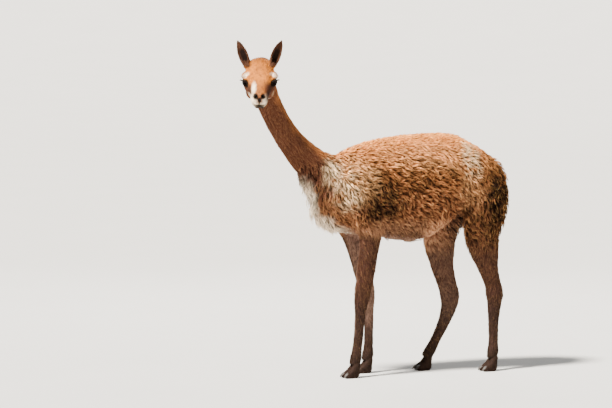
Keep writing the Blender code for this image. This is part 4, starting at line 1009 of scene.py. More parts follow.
def bareAt(points, normals):
    # 0 where no tuft grows: eyes, nostrils, lips, nose leather, soles and the cups of the ears
    local = headLocal(points)
    keep = np.ones(len(points))
    for side in (-1, 1):
        seen = placed(points, eyeMatrix(side).inverted())
        inside = np.linalg.norm(seen, axis=1) < eye["radius"] + bareReach["eye"]
        flatter, reach = bareReach["rim"]
        rim = (np.hypot(seen[:, 0] / flatter, seen[:, 1]) < reach) & (seen[:, 2] > 0.0)
        keep[inside | rim] = 0
        hole = local - np.array([nose["place"][0], nose["place"][1], side * nose["place"][2]])
        half, reach = bareReach["nostril"]
        keep[np.linalg.norm(hole / np.array(half), axis=1) < reach] = 0
    front, bottom, top, half = nose["leather"]
    ahead, up, out = local.T
    keep[(ahead > front) & (up > bottom) & (up < top) & (np.abs(out) < half)] = 0
    near = (ahead > 0.02) & (np.abs(up + 0.029) < 0.012)
    keep[np.flatnonzero(near)[curveDistance(local[near], mouthCurve) < bareReach["mouth"]]] = 0
    keep[(points[:, 2] < bareReach["floor"]) | (earCupAt(points, normals) > bareReach["cup"])] = 0
    return keep


mouthCurve = mouthLine(surfaceOf(skin.data))
rng = np.random.default_rng(clumps["seed"])


def countAt(points):  # tufts for each square metre
    return field(regions(points), "count")


roots, rootNormals = spread(countAt, rng, bareAt)
shares = regions(roots)
kinds = np.array(list(shares))
kind = kinds[np.argmax(np.column_stack([shares[k] for k in kinds]), axis=1)]
print("tufts", len(roots), {str(k): int((kind == k).sum()) for k in kinds})


def fineShare(shares):  # how far the coat is short and smooth
    return shares["head"] + shares["leg"] + shares["neck"]


def locksAt(points):  # locks for each square metre: 1 over the square of their spacing
    fine = fineShare(regions(points))
    return 1.0 / (clumps["spacing"] * (1 - fine) + clumps["fine"] * fine) ** 2


def swirl(points):
    # A slow turning of the coat from place to place: sines of place along seeded directions
    draw = np.random.default_rng(swirls["seed"])
    waves = draw.normal(0, 1, (5, 3)) * np.array(swirls["waves"])[:, None]
    return np.sin(points @ waves.T + draw.uniform(0, 6.28, 5)) @ np.array(swirls["strength"])


def turned(ways, points, normals, fluff, by):  # ways turned about the normals by the swirl and by chance
    fluff = fluff[:, None]
    turn = rng.normal(0, by, (len(ways), 1)) * fluff + swirl(points)[:, None] * (0.35 + 0.65 * fluff)
    return unit(ways + np.cross(normals, ways) * turn)


def fluffAt(shares):  # 1 where the coat is loose and long, less where it is short and smooth
    return 1 - clumps["smooth"] * fineShare(shares)


# The locks first: place, way, length, lift, bend and tone of each
centres, centreNormals = spread(locksAt, rng, bareAt)
lockShares = regions(centres)
fluff = fluffAt(lockShares)
lockWays = turned(lieAt(centres, centreNormals, lockShares), centres, centreNormals, fluff, chance["lockTurn"])
lockMean = field(lockShares, "length")
lockLength = lockMean * rng.uniform(*chance["lockLength"], len(centres))
lockLift = field(lockShares, "lift") * rng.uniform(*chance["lockLift"], len(centres))
tips = centres + lockWays * (lockLength * 0.95)[:, None]
tips += centreNormals * (lockLength * lockLift * clumps["bulge"])[:, None]
lockBend = rng.uniform(-1, 1, len(centres)) * clumps["bend"] * fluff
lockTone = rng.normal(0, 1, len(centres))
print("locks", len(centres))

lockStretch = clumps["stretch"] + (clumps["fineStretch"] - clumps["stretch"]) * (1 - fluff) / clumps["smooth"]
member = nearestLock(roots, centres, lockWays, lockStretch)
fluff = fluffAt(shares)
ways = turned(lieAt(roots, rootNormals, shares), roots, rootNormals, fluff, chance["turn"])
mixed = (0.55 * fluff)[:, None]
ways = unit(without(ways * (1 - mixed) + lockWays[member] * mixed, rootNormals))
sizes = [field(shares, name) for name in ("length", "width", "thick", "lift")]
for i, name in ((0, "length"), (1, "width"), (3, "lift")):
    sizes[i] = sizes[i] * rng.uniform(*chance[name], len(roots))
sizes[0] *= 1 - fluff + fluff * (lockLength / lockMean)[member]
pull = field(shares, "pull") * rng.uniform(*chance["pull"], len(roots))

rootLocal, onEar = headLocal(roots), earAt(roots)
onHead = shares["head"]
back = ramp(roots[:, 2], 0.84, 0.93) * shares["fleece"]
brow = browAt(rootLocal) * onHead
crown = ramp(-rootLocal[:, 0], 0.01, 0.06) * ramp(rootLocal[:, 1], 0.02, 0.05) * onHead * (1 - onEar)
# Places where the coat changes, and the share more or less there of length, width, lift and gathering
changes = [
    (back, -0.35, -0.35, -0.55, -0.50),  # the back is finer, flatter and less locked than the sides
    (ramp(roots[:, 2], 0.22, 0.46) * shares["leg"], 0.75, 0, 0.45, 0),
    (1 - ramp(roots[:, 2], 0.04, 0.15), -0.68, -0.25, -0.45, 0),  # shorter and finer towards the toes
    (ramp(rootLocal[:, 0], 0.02, 0.09) * onHead, -0.45, -0.20, 0, 0),  # and on the muzzle
    (crown, 0.8, 0, 1.2, 0),
    (brow, 1.1, 0, 2.2, 0),
    ((1 - ramp(eyeDistance(roots), 0.022, 0.030)) * onHead * (1 - brow), -0.45, -0.20, -0.50, 0),
    (onEar, -0.35, 0, 0, 0),
    (ramp(-rootLocal[:, 0], 0.04, 0.09) * onHead * (1 - onEar), 0.7, 0, 0.4, 0),  # the back of the head
]
for place, length, width, lift, gather in changes:
    for values, share in ((sizes[0], length), (sizes[1], width), (sizes[3], lift), (pull, gather)):
        values *= 1 + share * place
# Painted shade at a lock's edge, darker than its middle, which parts the locks
fromLock = without(roots - centres[member], lockWays[member])
halfWidth = 0.5 / np.sqrt(locksAt(centres) * lockStretch)
edge = np.linalg.norm(fromLock, axis=1) / halfWidth[member]
tone = toning["lock"] * lockTone[member]
tone += (toning["tuft"] + toning["loose"] * fluff) * rng.normal(0, 1, len(roots))
tone -= toning["edge"] * np.clip(edge - toning["from"], 0, toning["most"])
contrast = {"fleece": 1.55, "belly": 0.80, "neck": 0.62, "head": 0.60, "leg": 1.10, "chest": 0.95, "tail": 1.10}
tone *= sum(shares[k] * contrast[k] for k in contrast)
tone *= (1 - 0.50 * back) * (0.70 + 0.30 * ramp(roots[:, 2], 0.60, 0.72))
# Painted light on the tufts on top of the back
tone += toning["back"] * back
# Painted shade at the tufts' roots
deep = 1 - 0.72 * shares["head"] - 0.35 * shares["leg"] - 0.45 * shares["neck"]  # how dark the roots are

# The coat in pieces of under 200,000 triangles
parting = {"trunk": -0.06, "neck": 0.98}
left, ahead, low = roots[:, 1] < 0, roots[:, 0] < parting["trunk"], roots[:, 2] < parting["neck"]
split = {
    "fleeceLeftFront": (kind == "fleece") & left & ahead,
    "fleeceLeftBack": (kind == "fleece") & left & ~ahead,
    "fleeceRightFront": (kind == "fleece") & ~left & ahead,
    "fleeceRightBack": (kind == "fleece") & ~left & ~ahead,
    "bellyCoat": kind == "belly",
    "neckCoatLow": (kind == "neck") & low,
    "neckCoatHigh": (kind == "neck") & ~low,
    "headCoatLeft": (kind == "head") & (rootLocal[:, 2] < 0),
    "headCoatRight": (kind == "head") & (rootLocal[:, 2] >= 0),
    "foreLegCoat": (kind == "leg") & (roots[:, 0] < 0),
    "hindLegCoat": (kind == "leg") & (roots[:, 0] >= 0),
    "chestCoat": kind == "chest",
    "tailCoat": kind == "tail",
}
coatPieces = []
for name, chosen in split.items():
    tipsNow = tips[member[chosen]] + rng.normal(0, chance["tip"], (int(chosen.sum()), 3))
    size = [v[chosen] for v in sizes]
    bend = lockBend[member[chosen]]
    built = growTufts(roots[chosen], rootNormals[chosen], ways[chosen], size, tipsNow, pull[chosen], bend, rng)
    chart = legChart if "Leg" in name else headChart if "head" in name else bodyChart
    values = {"tone": tone[chosen], "ear": (onEar * (kind == "head"))[chosen], "deep": deep[chosen]}
    coatPieces.append(coatPiece(name, *built, chart(roots[chosen]), 2, 3, **values))


# Colours as eight-bit red, green and blue, by name
paint = {
    "cinnamon": (228, 148, 84),
    # Painted light on the top of the back
    "back": (255, 174, 84),
    "tan": (152, 97, 64),
    # Dark wool, also laid as painted shade
    "darkWoolAndShade": (38, 18, 9),
    # Painted shade over the chin
    "shadedChin": (20, 11, 8),
    # Painted highlight on the tufts' tips
    "tip": (255, 200, 122),
    "cream": (255, 224, 180),
    "bleached": (248, 190, 132),
    "white": (255, 238, 212),
    # Belly colour, partly painted shade
    "belly": (214, 156, 116),
    "chestSide": (158, 104, 68),
    # Neck, leg, shin and hoof hair colours, partly painted shade
    "neck": (100, 62, 46),
    "leg": (75, 48, 39),
    "shin": (50, 35, 31),
    "hoofHair": (34, 24, 20),
    "pale": (172, 138, 122),
    "forehead": (186, 114, 44),
    # Lower face brown, partly painted shade
    "cheek": (98, 60, 42),
    "grey": (56, 36, 29),
    "dark": (9, 7, 6),
    "earRim": (70, 45, 33),
    # Painted shade in the ear cups
    "earCupShade": (26, 16, 12),
    "floor": (194, 193, 190),
}


# Places marked on both sides of the trunk: centre, half sizes, softness of the edge and share
trunkMarks = {
    # Painted shade, partly darker wool, low on the shoulder, along the flank and behind the thigh
    "shade": [
        ((-0.262, 0.14, 0.695), (0.096, 0.10, 0.110), 0.45, 1.0),
        ((-0.12, 0.15, 0.760), (0.16, 0.12, 0.055), 0.5, 0.45),
        ((0.262, 0.10, 0.700), (0.084, 0.13, 0.15), 0.45, 1.0),
        ((0.02, 0.14, 0.800), (0.08, 0.10, 0.05), 0.5, 0.40),
        ((0.225, 0.10, 0.570), (0.11, 0.13, 0.13), 0.6, 0.85),
    ],
    "chestSide": [((-0.40, 0.10, 0.640), (0.085, 0.08, 0.080), 0.6, 0.7)],
    "chest": [
        ((-0.520, 0.0, 0.672), (0.050, 0.055, 0.115), 0.4, 1.0),
        ((-0.45, 0.0, 0.590), (0.125, 0.065, 0.050), 0.5, 0.9),
    ],
    "bleached": [
        ((-0.350, 0.12, 0.790), (0.075, 0.10, 0.090), 0.6, 0.65),
        ((-0.02, 0.15, 0.870), (0.24, 0.12, 0.055), 0.6, 0.35),
        ((0.140, 0.15, 0.735), (0.045, 0.12, 0.080), 0.6, 0.28),
    ],
    "worn": [
        ((0.146, 0.13, 0.862), (0.046, 0.10, 0.078), 0.6, 1.0),
        ((-0.435, 0.10, 0.815), (0.044, 0.08, 0.062), 0.6, 1.0),
        ((-0.385, 0.10, 0.740), (0.050, 0.08, 0.078), 0.6, 0.75),
    ],
}
# Marks of the face in the order they are laid, in the head's frame: on both sides, on one side as placed, or
# along the slant over each eye; then colour, share, centre, half sizes and softness. The one-sided marks paint shade
# on the -z side: whites only on the +z side, grey and brown on the -z side
faceMarks = [
    ("both", "cheek", 0.35, (0.082, 0.020, 0.006), (0.040, 0.020, 0.018), 0.6),
    ("both", "grey", 0.9, (0.054, -0.010, 0.038), (0.044, 0.022, 0.0115), 0.6),
    ("both", "cheek", 0.8, (0.010, -0.040, 0.054), (0.055, 0.026, 0.030), 0.6),
    ("one", "white", 0.95, (0.080, 0.012, 0.0215), (0.030, 0.022, 0.0085), 0.7),
    ("both", "white", 1.0, (0.112, -0.024, 0.024), (0.026, 0.024, 0.018), 0.5),
    ("both", "white", 0.9, (0.104, -0.032, 0.010), (0.034, 0.014, 0.024), 0.5),
    ("one", "white", 0.95, (0.062, -0.040, 0.036), (0.040, 0.016, 0.012), 0.6),
    # Painted shade on the face's -z side, in these grey and brown marks
    ("one", "grey", 0.90, (0.088, -0.010, -0.035), (0.052, 0.038, 0.0145), 0.5),
    ("one", "cheek", 0.80, (0.060, 0.006, -0.024), (0.034, 0.016, 0.0130), 0.6),
    ("one", "cream", 0.35, (0.030, -0.050, -0.058), (0.050, 0.014, 0.010), 0.7),
    ("both", "white", 0.75, (0.030, -0.070, 0.0), (0.070, 0.012, 0.036), 0.6),
    ("brow", "white", 0.92, (0.002, 0.0, 0.0), (0.016, 0.0150, 0.0050), 0.6),
    # Dark nose leather, with painted shade inside each nostril
    ("both", "dark", 0.98, (0.120, 0.000, 0.0135), (0.020, 0.0105, 0.0105), 0.3),
    ("both", "dark", 0.95, (0.132, -0.009, 0.0), (0.014, 0.0090, 0.0075), 0.4),
    ("both", "dark", 0.85, (0.132, -0.021, 0.0), (0.014, 0.0120, 0.0032), 0.5),
    # Painted shade along the mouth
    ("both", "dark", 0.95, (0.122, -0.0345, 0.0), (0.026, 0.0058, 0.027), 0.5),
    # Painted shade over the chin
    ("both", "shadedChin", 0.95, (0.120, -0.0460, 0.0), (0.030, 0.0130, 0.020), 0.4),
    # Dark skin round each eye, with the lids' painted shadow
    ("both", "dark", 0.98, (0.013, 0.004, 0.054), (0.026, 0.0175, 0.023), 0.22),
]


def linear(name, share=1.0):
    c = np.array(paint[name]) / 255.0
    return [float(v) * share for v in np.where(c <= 0.04045, c / 12.92, ((c + 0.055) / 1.055) ** 2.4)]


class Wire:
    # A socket that maths can be written with
    def __init__(self, sheet, socket):
        self.sheet, self.socket = sheet, socket

    def __add__(self, other):
        return self.sheet.maths("ADD", self, other)

    def __radd__(self, other):
        return self.sheet.maths("ADD", other, self)

    def __sub__(self, other):
        return self.sheet.maths("SUBTRACT", self, other)

    def __rsub__(self, other):
        return self.sheet.maths("SUBTRACT", other, self)

    def __mul__(self, other):
        return self.sheet.maths("MULTIPLY", self, other)

    def __rmul__(self, other):
        return self.sheet.maths("MULTIPLY", other, self)


class Sheet:
    # One material's nodes
    def __init__(self, name, roughness=0.85, **fixed):
        self.material = bpy.data.materials.new(name)
        self.material.use_nodes = True
        self.tree = self.material.node_tree
        self.shader = self.tree.nodes["Principled BSDF"]
        self.shader.inputs["Roughness"].default_value = roughness
        for key, value in fixed.items():
            self.shader.inputs[key.replace("_", " ")].default_value = value

    def node(self, kind, settings=None, sockets=None):
        made = self.tree.nodes.new(kind)
        for key, value in (settings or {}).items():
            setattr(made, key, value)
        for key, value in (sockets or {}).items():
            if isinstance(value, Wire):
                self.tree.links.new(value.socket, made.inputs[key])
            else:
                made.inputs[key].default_value = value
        return made

    def out(self, node, key=0):
        return Wire(self, node.outputs[key])

    def maths(self, operation, *values):
        return self.out(self.node("ShaderNodeMath", {"operation": operation}, dict(enumerate(values))))

    def vector(self, operation, *values, key=0):
        return self.out(self.node("ShaderNodeVectorMath", {"operation": operation}, dict(enumerate(values))), key)

    def joined(self, kind, *three):  # three values as one place, XYZ, or one colour, Color
        return self.out(self.node("ShaderNodeCombine" + kind, {}, dict(enumerate(three))))

    def axes(self, place):
        split = self.node("ShaderNodeSeparateXYZ", {}, {0: place})
        return [self.out(split, i) for i in range(3)]

    def place(self):
        return self.out(self.node("ShaderNodeTexCoord"), "Object")

    def mix(self, share, one, two, blend="MIX"):
        colours = {}
        for key, value in ((6, one), (7, two)):
            colours[key] = value if isinstance(value, Wire) else (*value[:3], 1.0)
        settings = {"data_type": "RGBA", "blend_type": blend, "clamp_factor": True}
        return self.out(self.node("ShaderNodeMix", settings, {0: share, **colours}), 2)

    def shaded(self, colour, *three):  # a colour times three values
        return self.mix(1.0, colour, self.joined("Color", *three), "MULTIPLY")

    def layered(self, colour, layers):  # named colours laid over a colour, each by its share
        for name, share in layers:
            colour = self.mix(share, colour, linear(name))
        return colour

    def attribute(self, name):
        return self.out(self.node("ShaderNodeAttribute", {"attribute_name": name}), "Fac")

    def step(self, value, low, high):
        # 0 at low, 1 at high, smooth between, also where low is the higher of the two
        sockets = {"Value": value, "From Min": low, "From Max": high, "To Min": 0.0, "To Max": 1.0}
        if low > high:
            sockets.update({"From Min": high, "From Max": low, "To Min": 1.0, "To Max": 0.0})
        return self.out(self.node("ShaderNodeMapRange", {"interpolation_type": "SMOOTHSTEP"}, sockets))

    def noise(self, place, scale, detail=2.0, key="Fac"):
        sockets = {"Vector": place, "Scale": scale, "Detail": detail, "Roughness": 0.6}
        return self.out(self.node("ShaderNodeTexNoise", {}, sockets), key)

    def ragged(self, place, scale, detail, by):  # a place moved about by a noise, by half of by at most
        loose = self.noise(place, scale, detail, "Color")
        return self.vector("ADD", place, self.vector("MULTIPLY_ADD", loose, (by,) * 3, (-by / 2,) * 3))

    def spot(self, place, centre, size, soft):
        # 1 inside an oval place, 0 outside it, from the length of the offset over the half sizes
        scaled = self.vector("MULTIPLY_ADD", place, [1 / s for s in size], [-c / s for c, s in zip(centre, size)])
        return self.step(self.vector("LENGTH", scaled, key="Value"), 1 + soft, 1 - soft)

    def spots(self, place, rows):  # the strongest of several spots
        found = [self.spot(place, *row[:3]) * row[3] for row in rows]
        while len(found) > 1:
            found[:2] = [self.maths("MAXIMUM", *found[:2])]
        return found[0]

    def bump(self, height, strength, distance):
        sockets = {"Strength": strength, "Distance": distance, "Height": height}
        return self.out(self.node("ShaderNodeBump", {}, sockets))

    def feed(self, **wires):
        for key, wire in wires.items():
            self.tree.links.new(wire.socket, self.shader.inputs[key.replace("_", " ")])


def faceAxes(sheet, place):  # a place's products with the head's three axes
    rows = np.array(headInverse)[:3, :3].tolist()
    return [sheet.vector("DOT_PRODUCT", place, row, key="Value") for row in rows]


def markings(sheet):
    # The animal's colours by place, shared by the skin and the coat
    step = sheet.step
    place = sheet.vector("SUBTRACT", sheet.place(), list(offset))
    x, y, z = sheet.axes(sheet.ragged(place, 16.0, 2.0, 0.07))
    width = sheet.maths("ABSOLUTE", y)
    both = sheet.joined("XYZ", x, width, z)
    marks = {name: sheet.spots(both, rows) for name, rows in trunkMarks.items()}
    broad, fine = sheet.noise(place, 7.0, 3.0), sheet.noise(place, 34.0, 2.0)
    blotch = sheet.noise(place, 19.0, 3.0) * 0.6 + fine * 0.4
    foreLeg = step(x, 0.0, -0.06)
    inner = step(width, 0.078, 0.055) * step(z, 0.70, 0.60) * step(z, 0.10, 0.30)
    # How far a place is behind the neck's middle line, which is a parabola of its height
    high = z - 0.797
    nape = step(x + 0.43 + high * 1.22 - high * high * 1.2, 0.000, 0.060) * step(z, 0.80, 0.90)
    # Tan low on the trunk and cinnamon above: partly the coat's colour, partly painted shade low down
    colour = sheet.mix(step(z, 0.66, 0.90), linear("tan"), linear("cinnamon"))
    colour = sheet.layered(colour, [
        # Painted light on the top of the back
        ("back", step(z, 0.86, 0.95) * 0.8),
        ("darkWoolAndShade", step(broad, 0.42, 0.68) * 0.35 * step(z, 0.95, 0.85)),
        ("darkWoolAndShade", step(blotch, 0.50, 0.62) * 0.50 * step(z, 0.93, 0.82)),
        # Painted shade, partly darker wool, low on the shoulder, along the flank and behind the thigh
        ("darkWoolAndShade", marks["shade"] * (0.60 + 0.40 * step(fine, 0.30, 0.55))),
        # Pale belly and inner legs, darker shins and feet; the colours of belly, legs, shins and feet are partly
        # painted shade
        ("belly", step(z, 0.640, 0.560) * step(x, 0.16, 0.02) * 0.95),
        ("leg", step(z - 0.08 * foreLeg, 0.56, 0.45)),
        ("shin", step(z, 0.40, 0.22)),
        ("pale", inner * (0.15 + 0.30 * foreLeg)),
        ("hoofHair", step(z, 0.115, 0.060) * 0.85),
        # Neck, darkened partly as painted shade, its lighter nape, and the white chest
        ("neck", step(x + z * 0.55, 0.075, 0.0) * step(z, 0.60, 0.66)),
        ("cinnamon", nape * 0.42),
        ("chestSide", marks["chestSide"]),
        ("white", marks["chest"]),
        # Worn cream places on the hip and before the shoulder, bleached wool behind them
        ("bleached", marks["bleached"]),
        ("cream", marks["worn"] * step(fine, 0.34, 0.60)),
    ])

    # The head's own marks, in its frame: along the face, up, and out to either side
    shift = np.array(headInverse)[:3, 3].tolist()
    facePlace = sheet.ragged(place, 90.0, 3.0, 0.010)
    ahead, up, out = (axis + at for axis, at in zip(faceAxes(sheet, facePlace), shift))
    sides = sheet.maths("ABSOLUTE", out)
    # The white over each eye slants down and out: its own place is along the slant and across it
    slant = (sides - 0.056) * 0.89 - (up - 0.030) * 0.45
    rise = (up - 0.030) * 0.89 + (sides - 0.056) * 0.45
    frames = {"both": (ahead, up, sides), "one": (ahead, up, out), "brow": (ahead, slant, rise)}
    frames = {name: sheet.joined("XYZ", *three) for name, three in frames.items()}
    # The lower face darker than the forehead, partly painted shade
    skull = sheet.mix(step(up, -0.01, 0.03), linear("cheek"), linear("forehead"))
    skull = sheet.layered(skull, [
        ("tan", step(ahead, -0.03, -0.08) * step(up, 0.02, -0.03)),
        ("tan", step(ahead, -0.045, -0.090) * 0.75),
        ("cheek", step(sheet.noise(place, 75.0, 3.0), 0.48, 0.64) * 0.42),
        *((name, sheet.spot(frames[frame], *spot) * share) for frame, name, share, *spot in faceMarks),
    ])
    here = step(ahead * 0.55 + up * 0.83 + (0.078 * 0.83 + 0.041), -0.02, 0.02) * step(z, 1.0, 1.04)
    colour = sheet.mix(here, colour, skull)
    return sheet.layered(colour, [("earRim", sheet.attribute("ear"))]), place


def coatMaterial():
    # The markings, with painted shade towards each tuft's root and a painted highlight at its tip, times the tuft's
    # own tone
    sheet = Sheet("soft hair", 0.80, Specular_IOR_Level=0.07)
    colour, _ = markings(sheet)
    grow, tone, deep, onEar = (sheet.attribute(name) for name in ("grow", "tone", "deep", "ear"))
    # Painted shade at the root, a painted highlight at the tip
    far = sheet.step(grow, 0.05, 0.90)
    bleached = sheet.step(grow, 0.45, 1.0) * (0.13 + 0.07 * tone) * deep * (1.0 - 0.5 * onEar)
    colour = sheet.layered(colour, [("tip", bleached)])
    light = (1.10 - 0.94 * deep * (1.0 - far)) * sheet.maths("MAXIMUM", 1.0 + 0.32 * tone, 0.22)
    sheet.feed(Base_Color=sheet.shaded(colour, light, light * (0.90 + 0.10 * far), light * (0.82 + 0.18 * far)))
    return sheet.material


def skinMaterial():
    # The markings, with painted shade under long coat and in the ear cups, with fine hair and wet lids and nose
    sheet = Sheet("hide", 0.75, Specular_IOR_Level=0.08)
    colour, place = markings(sheet)
    # Painted shade in the ear cups
    colour = sheet.layered(colour, [("earCupShade", sheet.attribute("cup"))])
    # Painted shade on the skin under the coat
    light = 1.0 - 0.60 * sheet.attribute("under")
    colour = sheet.shaded(colour, light, light * 0.95, light * 0.90)
    # Fine hair: a noise drawn out along the face on the head and downwards elsewhere
    ahead, up, out = faceAxes(sheet, place)
    faceHair = sheet.noise(sheet.joined("XYZ", ahead * 0.16, up, out), 900.0, 2.0)
    legHair = sheet.noise(sheet.vector("MULTIPLY", place, (1.0, 1.0, 0.14)), 620.0, 2.0)
    head = sheet.attribute("head")
    hair = faceHair * head + legHair * (1.0 - head)
    colour = sheet.shaded(colour, *[0.80 + 0.40 * hair] * 3)
    sheet.feed(Base_Color=colour, Normal=sheet.bump(hair, 0.8, 0.0012))
    sheet.feed(Roughness=0.85 - 0.35 * sheet.attribute("wet"))
    return sheet.material


def eyeMaterial():  # a brown iris with flecks, a level oval pupil and a black rim
    sheet = Sheet("eye", 0.07, Specular_IOR_Level=0.015)
    iris = sheet.mix(sheet.noise(sheet.place(), 900.0, 2.0), (0.006, 0.003, 0.0016), (0.016, 0.007, 0.0035))
    colour = sheet.mix(sheet.step(sheet.attribute("iris"), 0.78, 0.90), iris, (0.0012, 0.001, 0.001))
    colour = sheet.mix(sheet.step(sheet.attribute("pupil"), 1.08, 0.92), colour, (0.0004, 0.0004, 0.0005))
    sheet.feed(Base_Color=colour)
    return sheet.material


def hornMaterial(name, colour, roughness):  # ridges across the nail, darker and paler
    sheet = Sheet(name, roughness, Specular_IOR_Level=0.45)
    ridges = sheet.noise(sheet.vector("MULTIPLY", sheet.place(), (60.0, 60.0, 420.0)), 1.0, 3.0)
    dark, pale = [c * 0.55 for c in colour], [c * 1.7 for c in colour]
    bumps = sheet.bump(ridges, 0.4, 0.0006)
    sheet.feed(Base_Color=sheet.mix(ridges, dark, pale), Roughness=roughness + 0.25 * ridges, Normal=bumps)
    return sheet.material


def keep(piece, material, slot, *nodes):  # one visible piece with its material, on the root body, in place of the nodes it hides; slot is not used
    piece.data.materials.clear()
    piece.data.materials.append(material)
    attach(piece, "root")
    if nodes:
        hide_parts(*nodes)
    return piece


coatHair, hide = coatMaterial(), skinMaterial()
legs = [f"{end}_{side}" for end in ("fore", "hind") for side in ("left", "right")]
flesh = ["torso", "neck", "head", "ear_left", "ear_right", "tail"]
flesh += [f"{leg}_{part}" for leg in legs for part in ("upper", "lower")] + [f"foot_{leg}" for leg in legs]
skinShares, skinLocal = regions(skinPoints), headLocal(skinPoints)
# Shares of painted shade on the skin under each kind of coat
coatShadeShare = {"fleece": 1.0, "chest": 0.8, "tail": 0.8, "neck": 0.55}
noseWet = ramp(skinLocal[:, 0], 0.112, 0.120) * ramp(skinLocal[:, 1], -0.022, -0.014)
skinValues = {
    "under": sum(share * skinShares[name] for name, share in coatShadeShare.items()),
    "cup": earCupAt(skinPoints, skinNormals),
    "ear": earAt(skinPoints),
    "head": skinShares["head"],
    "wet": np.maximum(noseWet, 1 - ramp(eyeDistance(skinPoints), 0.0195, 0.0225)),
}
setPoints(skin.data, skinPoints + offset)
for name, values in skinValues.items():
    setAttribute(skin.data, name, values)
skin.name = skin.data.name = "skin"
skin.data.polygons.foreach_set("use_smooth", np.ones(len(skin.data.polygons), bool))
keep(skin, hide, "fleece", *flesh)
for piece in coatPieces:
    keep(piece, coatHair, "leg_coat" if "Leg" in piece.name else "fleece")


def eyeball(side, name):
    # A ball whose front third stands out as the clear cornea: radius times 1 + a bell of the angle from the look
    rings = ballRings(40, 56)
    angle = np.arccos(np.clip(rings[..., 2], -1, 1))
    bell = np.exp(-((angle / eye["corneaWidth"]) ** 4))
    shape = rings * (eye["radius"] - eye["inside"]) * (1 + eye["cornea"] * bell)[..., None]
    made = closedRings(name, placed(shape, eyeMatrix(side)) + offset)
    flat = np.vstack([rings.reshape(-1, 3), [[0, 0, 1.0], [0, 0, -1.0]]])
    setAttribute(made.data, "iris", np.arccos(np.clip(flat[:, 2], -1, 1)) / eye["iris"])
    behind = np.where(flat[:, 2] < 0, 9.0, 0.0)
    wide, high = eye["pupil"]
    setAttribute(made.data, "pupil", np.hypot(flat[:, 0] / wide, flat[:, 1] / high) + behind)
    return made


wetEye = eyeMaterial()
for side, label in ((-1, "left"), (1, "right")):
    keep(eyeball(side, f"eye{label.title()}"), wetEye, "eye", f"eye_{label}")
print("eyes")


nail = {"length": 0.0215, "drop": 0.0050, "width": 0.0085, "depth": 0.0062, "below": 0.62, "bend": 34, "lean": 24}


def nailRings(count=18, segments=20):
    # A nail: ovals along an arc that bends down to a blunt point, flat below and arched above
    u = np.linspace(0, 1, count)
    wide = nail["width"] * np.interp(u, [0, 0.35, 0.8, 1.0], [1.0, 0.98, 0.62, 0.25])
    deep = nail["depth"] * np.interp(u, [0, 0.35, 0.8, 1.0], [1.0, 1.0, 0.62, 0.25])
    angle = np.linspace(0, 2 * np.pi, segments, endpoint=False)
    bend = u * math.radians(nail["bend"])
    centre = np.column_stack([nail["length"] * u, 0 * u, -nail["drop"] * u**2])
    across, out = np.cos(angle)[None] * wide[:, None], np.sin(angle)[None] * deep[:, None]
    out = np.where(out < 0, out * nail["below"], out)
    section = np.stack([out * np.sin(bend)[:, None], across, out * np.cos(bend)[:, None]], axis=-1)
    return centre[:, None] + section


horn = hornMaterial("nail horn", (0.026, 0.020, 0.016), 0.42)
lean = Matrix.Translation((toeRows[-1][0] - 0.0105, 0.0, toeRows[-1][1] + 0.0085))
lean = lean @ Matrix.Rotation(math.radians(nail["lean"]), 4, "Y")
for foot, place in feet.items():
    end, flank = foot[:4], foot[4:].lower()
    for side in (-1, 1):
        label = "outer" if (side < 0) == (flank == "left") else "inner"
        name = f"nail{foot[0].upper()}{foot[1:]}{label.title()}"
        made = closedRings(name, placed(nailRings(), toeMatrix(place, side) @ lean) + offset)
        keep(made, horn, "nail", f"nail_{end}_{flank}_{label}")
print("nails")

lash = {
    "count": 70,
    "seed": 3,
    "sweep": 76,
    "rim": (0.0185, 0.0125),
    "reach": 0.0208,
    "length": (0.009, 0.014),
    "width": 0.0015,
    "thick": 0.0010,
    "lift": 0.22,
}


def lashes():
    # Dark tapered hairs along each upper lid, curving out and up from its rim
    rng = np.random.default_rng(lash["seed"])
    found = []
    for side in (-1, 1):
        count = lash["count"]
        t = np.linspace(-1.0, 1.0, count) + rng.normal(0, 0.02, count)
        angle = math.radians(90) - t * math.radians(lash["sweep"])
        rim = np.column_stack([np.cos(angle) * lash["rim"][0], np.sin(angle) * lash["rim"][1], 0 * t])
        rim[:, 2] = np.sqrt(np.maximum(lash["reach"] ** 2 - rim[:, 0] ** 2 - rim[:, 1] ** 2, 1e-6))
        way = unit(np.column_stack([rim[:, 0] * 0.8, rim[:, 1] * 0.2 + 0.001, np.full(count, 0.014)]))
        normal = unit(np.column_stack([0 * t, np.full(count, 1.0), np.full(count, 0.4)]))
        normal = unit(without(normal, way))
        m = np.array(eyeMatrix(side))
        found.append((placed(rim, eyeMatrix(side)), normal @ m[:3, :3].T, way @ m[:3, :3].T))
    roots, normals, ways = (np.vstack(v) for v in zip(*found))
    count, none = len(roots), np.zeros(len(roots))
    size = [rng.uniform(*lash["length"], count)] + [np.full(count, lash[key]) for key in ("width", "thick", "lift")]
    built = growTufts(roots, normals, ways, size, roots, none, none, rng, 3, 4)
    return coatPiece("lashes", *built, headChart(roots), 3, 4)


keep(lashes(), hornMaterial("lash", (0.012, 0.009, 0.008), 0.6), "eye")

# Lights: kind, place, where it points, strength, colour, and the size or angle that softens it
lights = {
    "key": ("SUN", (-5.2, -2.0, 8.8), (-0.05, 0, 0.75), 19.5, (1.0, 0.94, 0.86), {"angle": math.radians(9)}),
    "fill": ("AREA", (3.2, -3.6, 1.8), (0, 0, 0.6), 30, (1.0, 0.98, 0.96), {"size": 3.0}),
    "rim": ("AREA", (1.4, 3.6, 3.2), (0, 0, 0.8), 130, (1, 1, 1), {"size": 2.0}),
}
sky = {"colour": (0.97, 0.98, 1.0, 1.0), "strength": 0.25}
bowl = {"flat": 22.0, "reach": 60.0, "rise": 7.0, "rings": 48, "segments": 96}


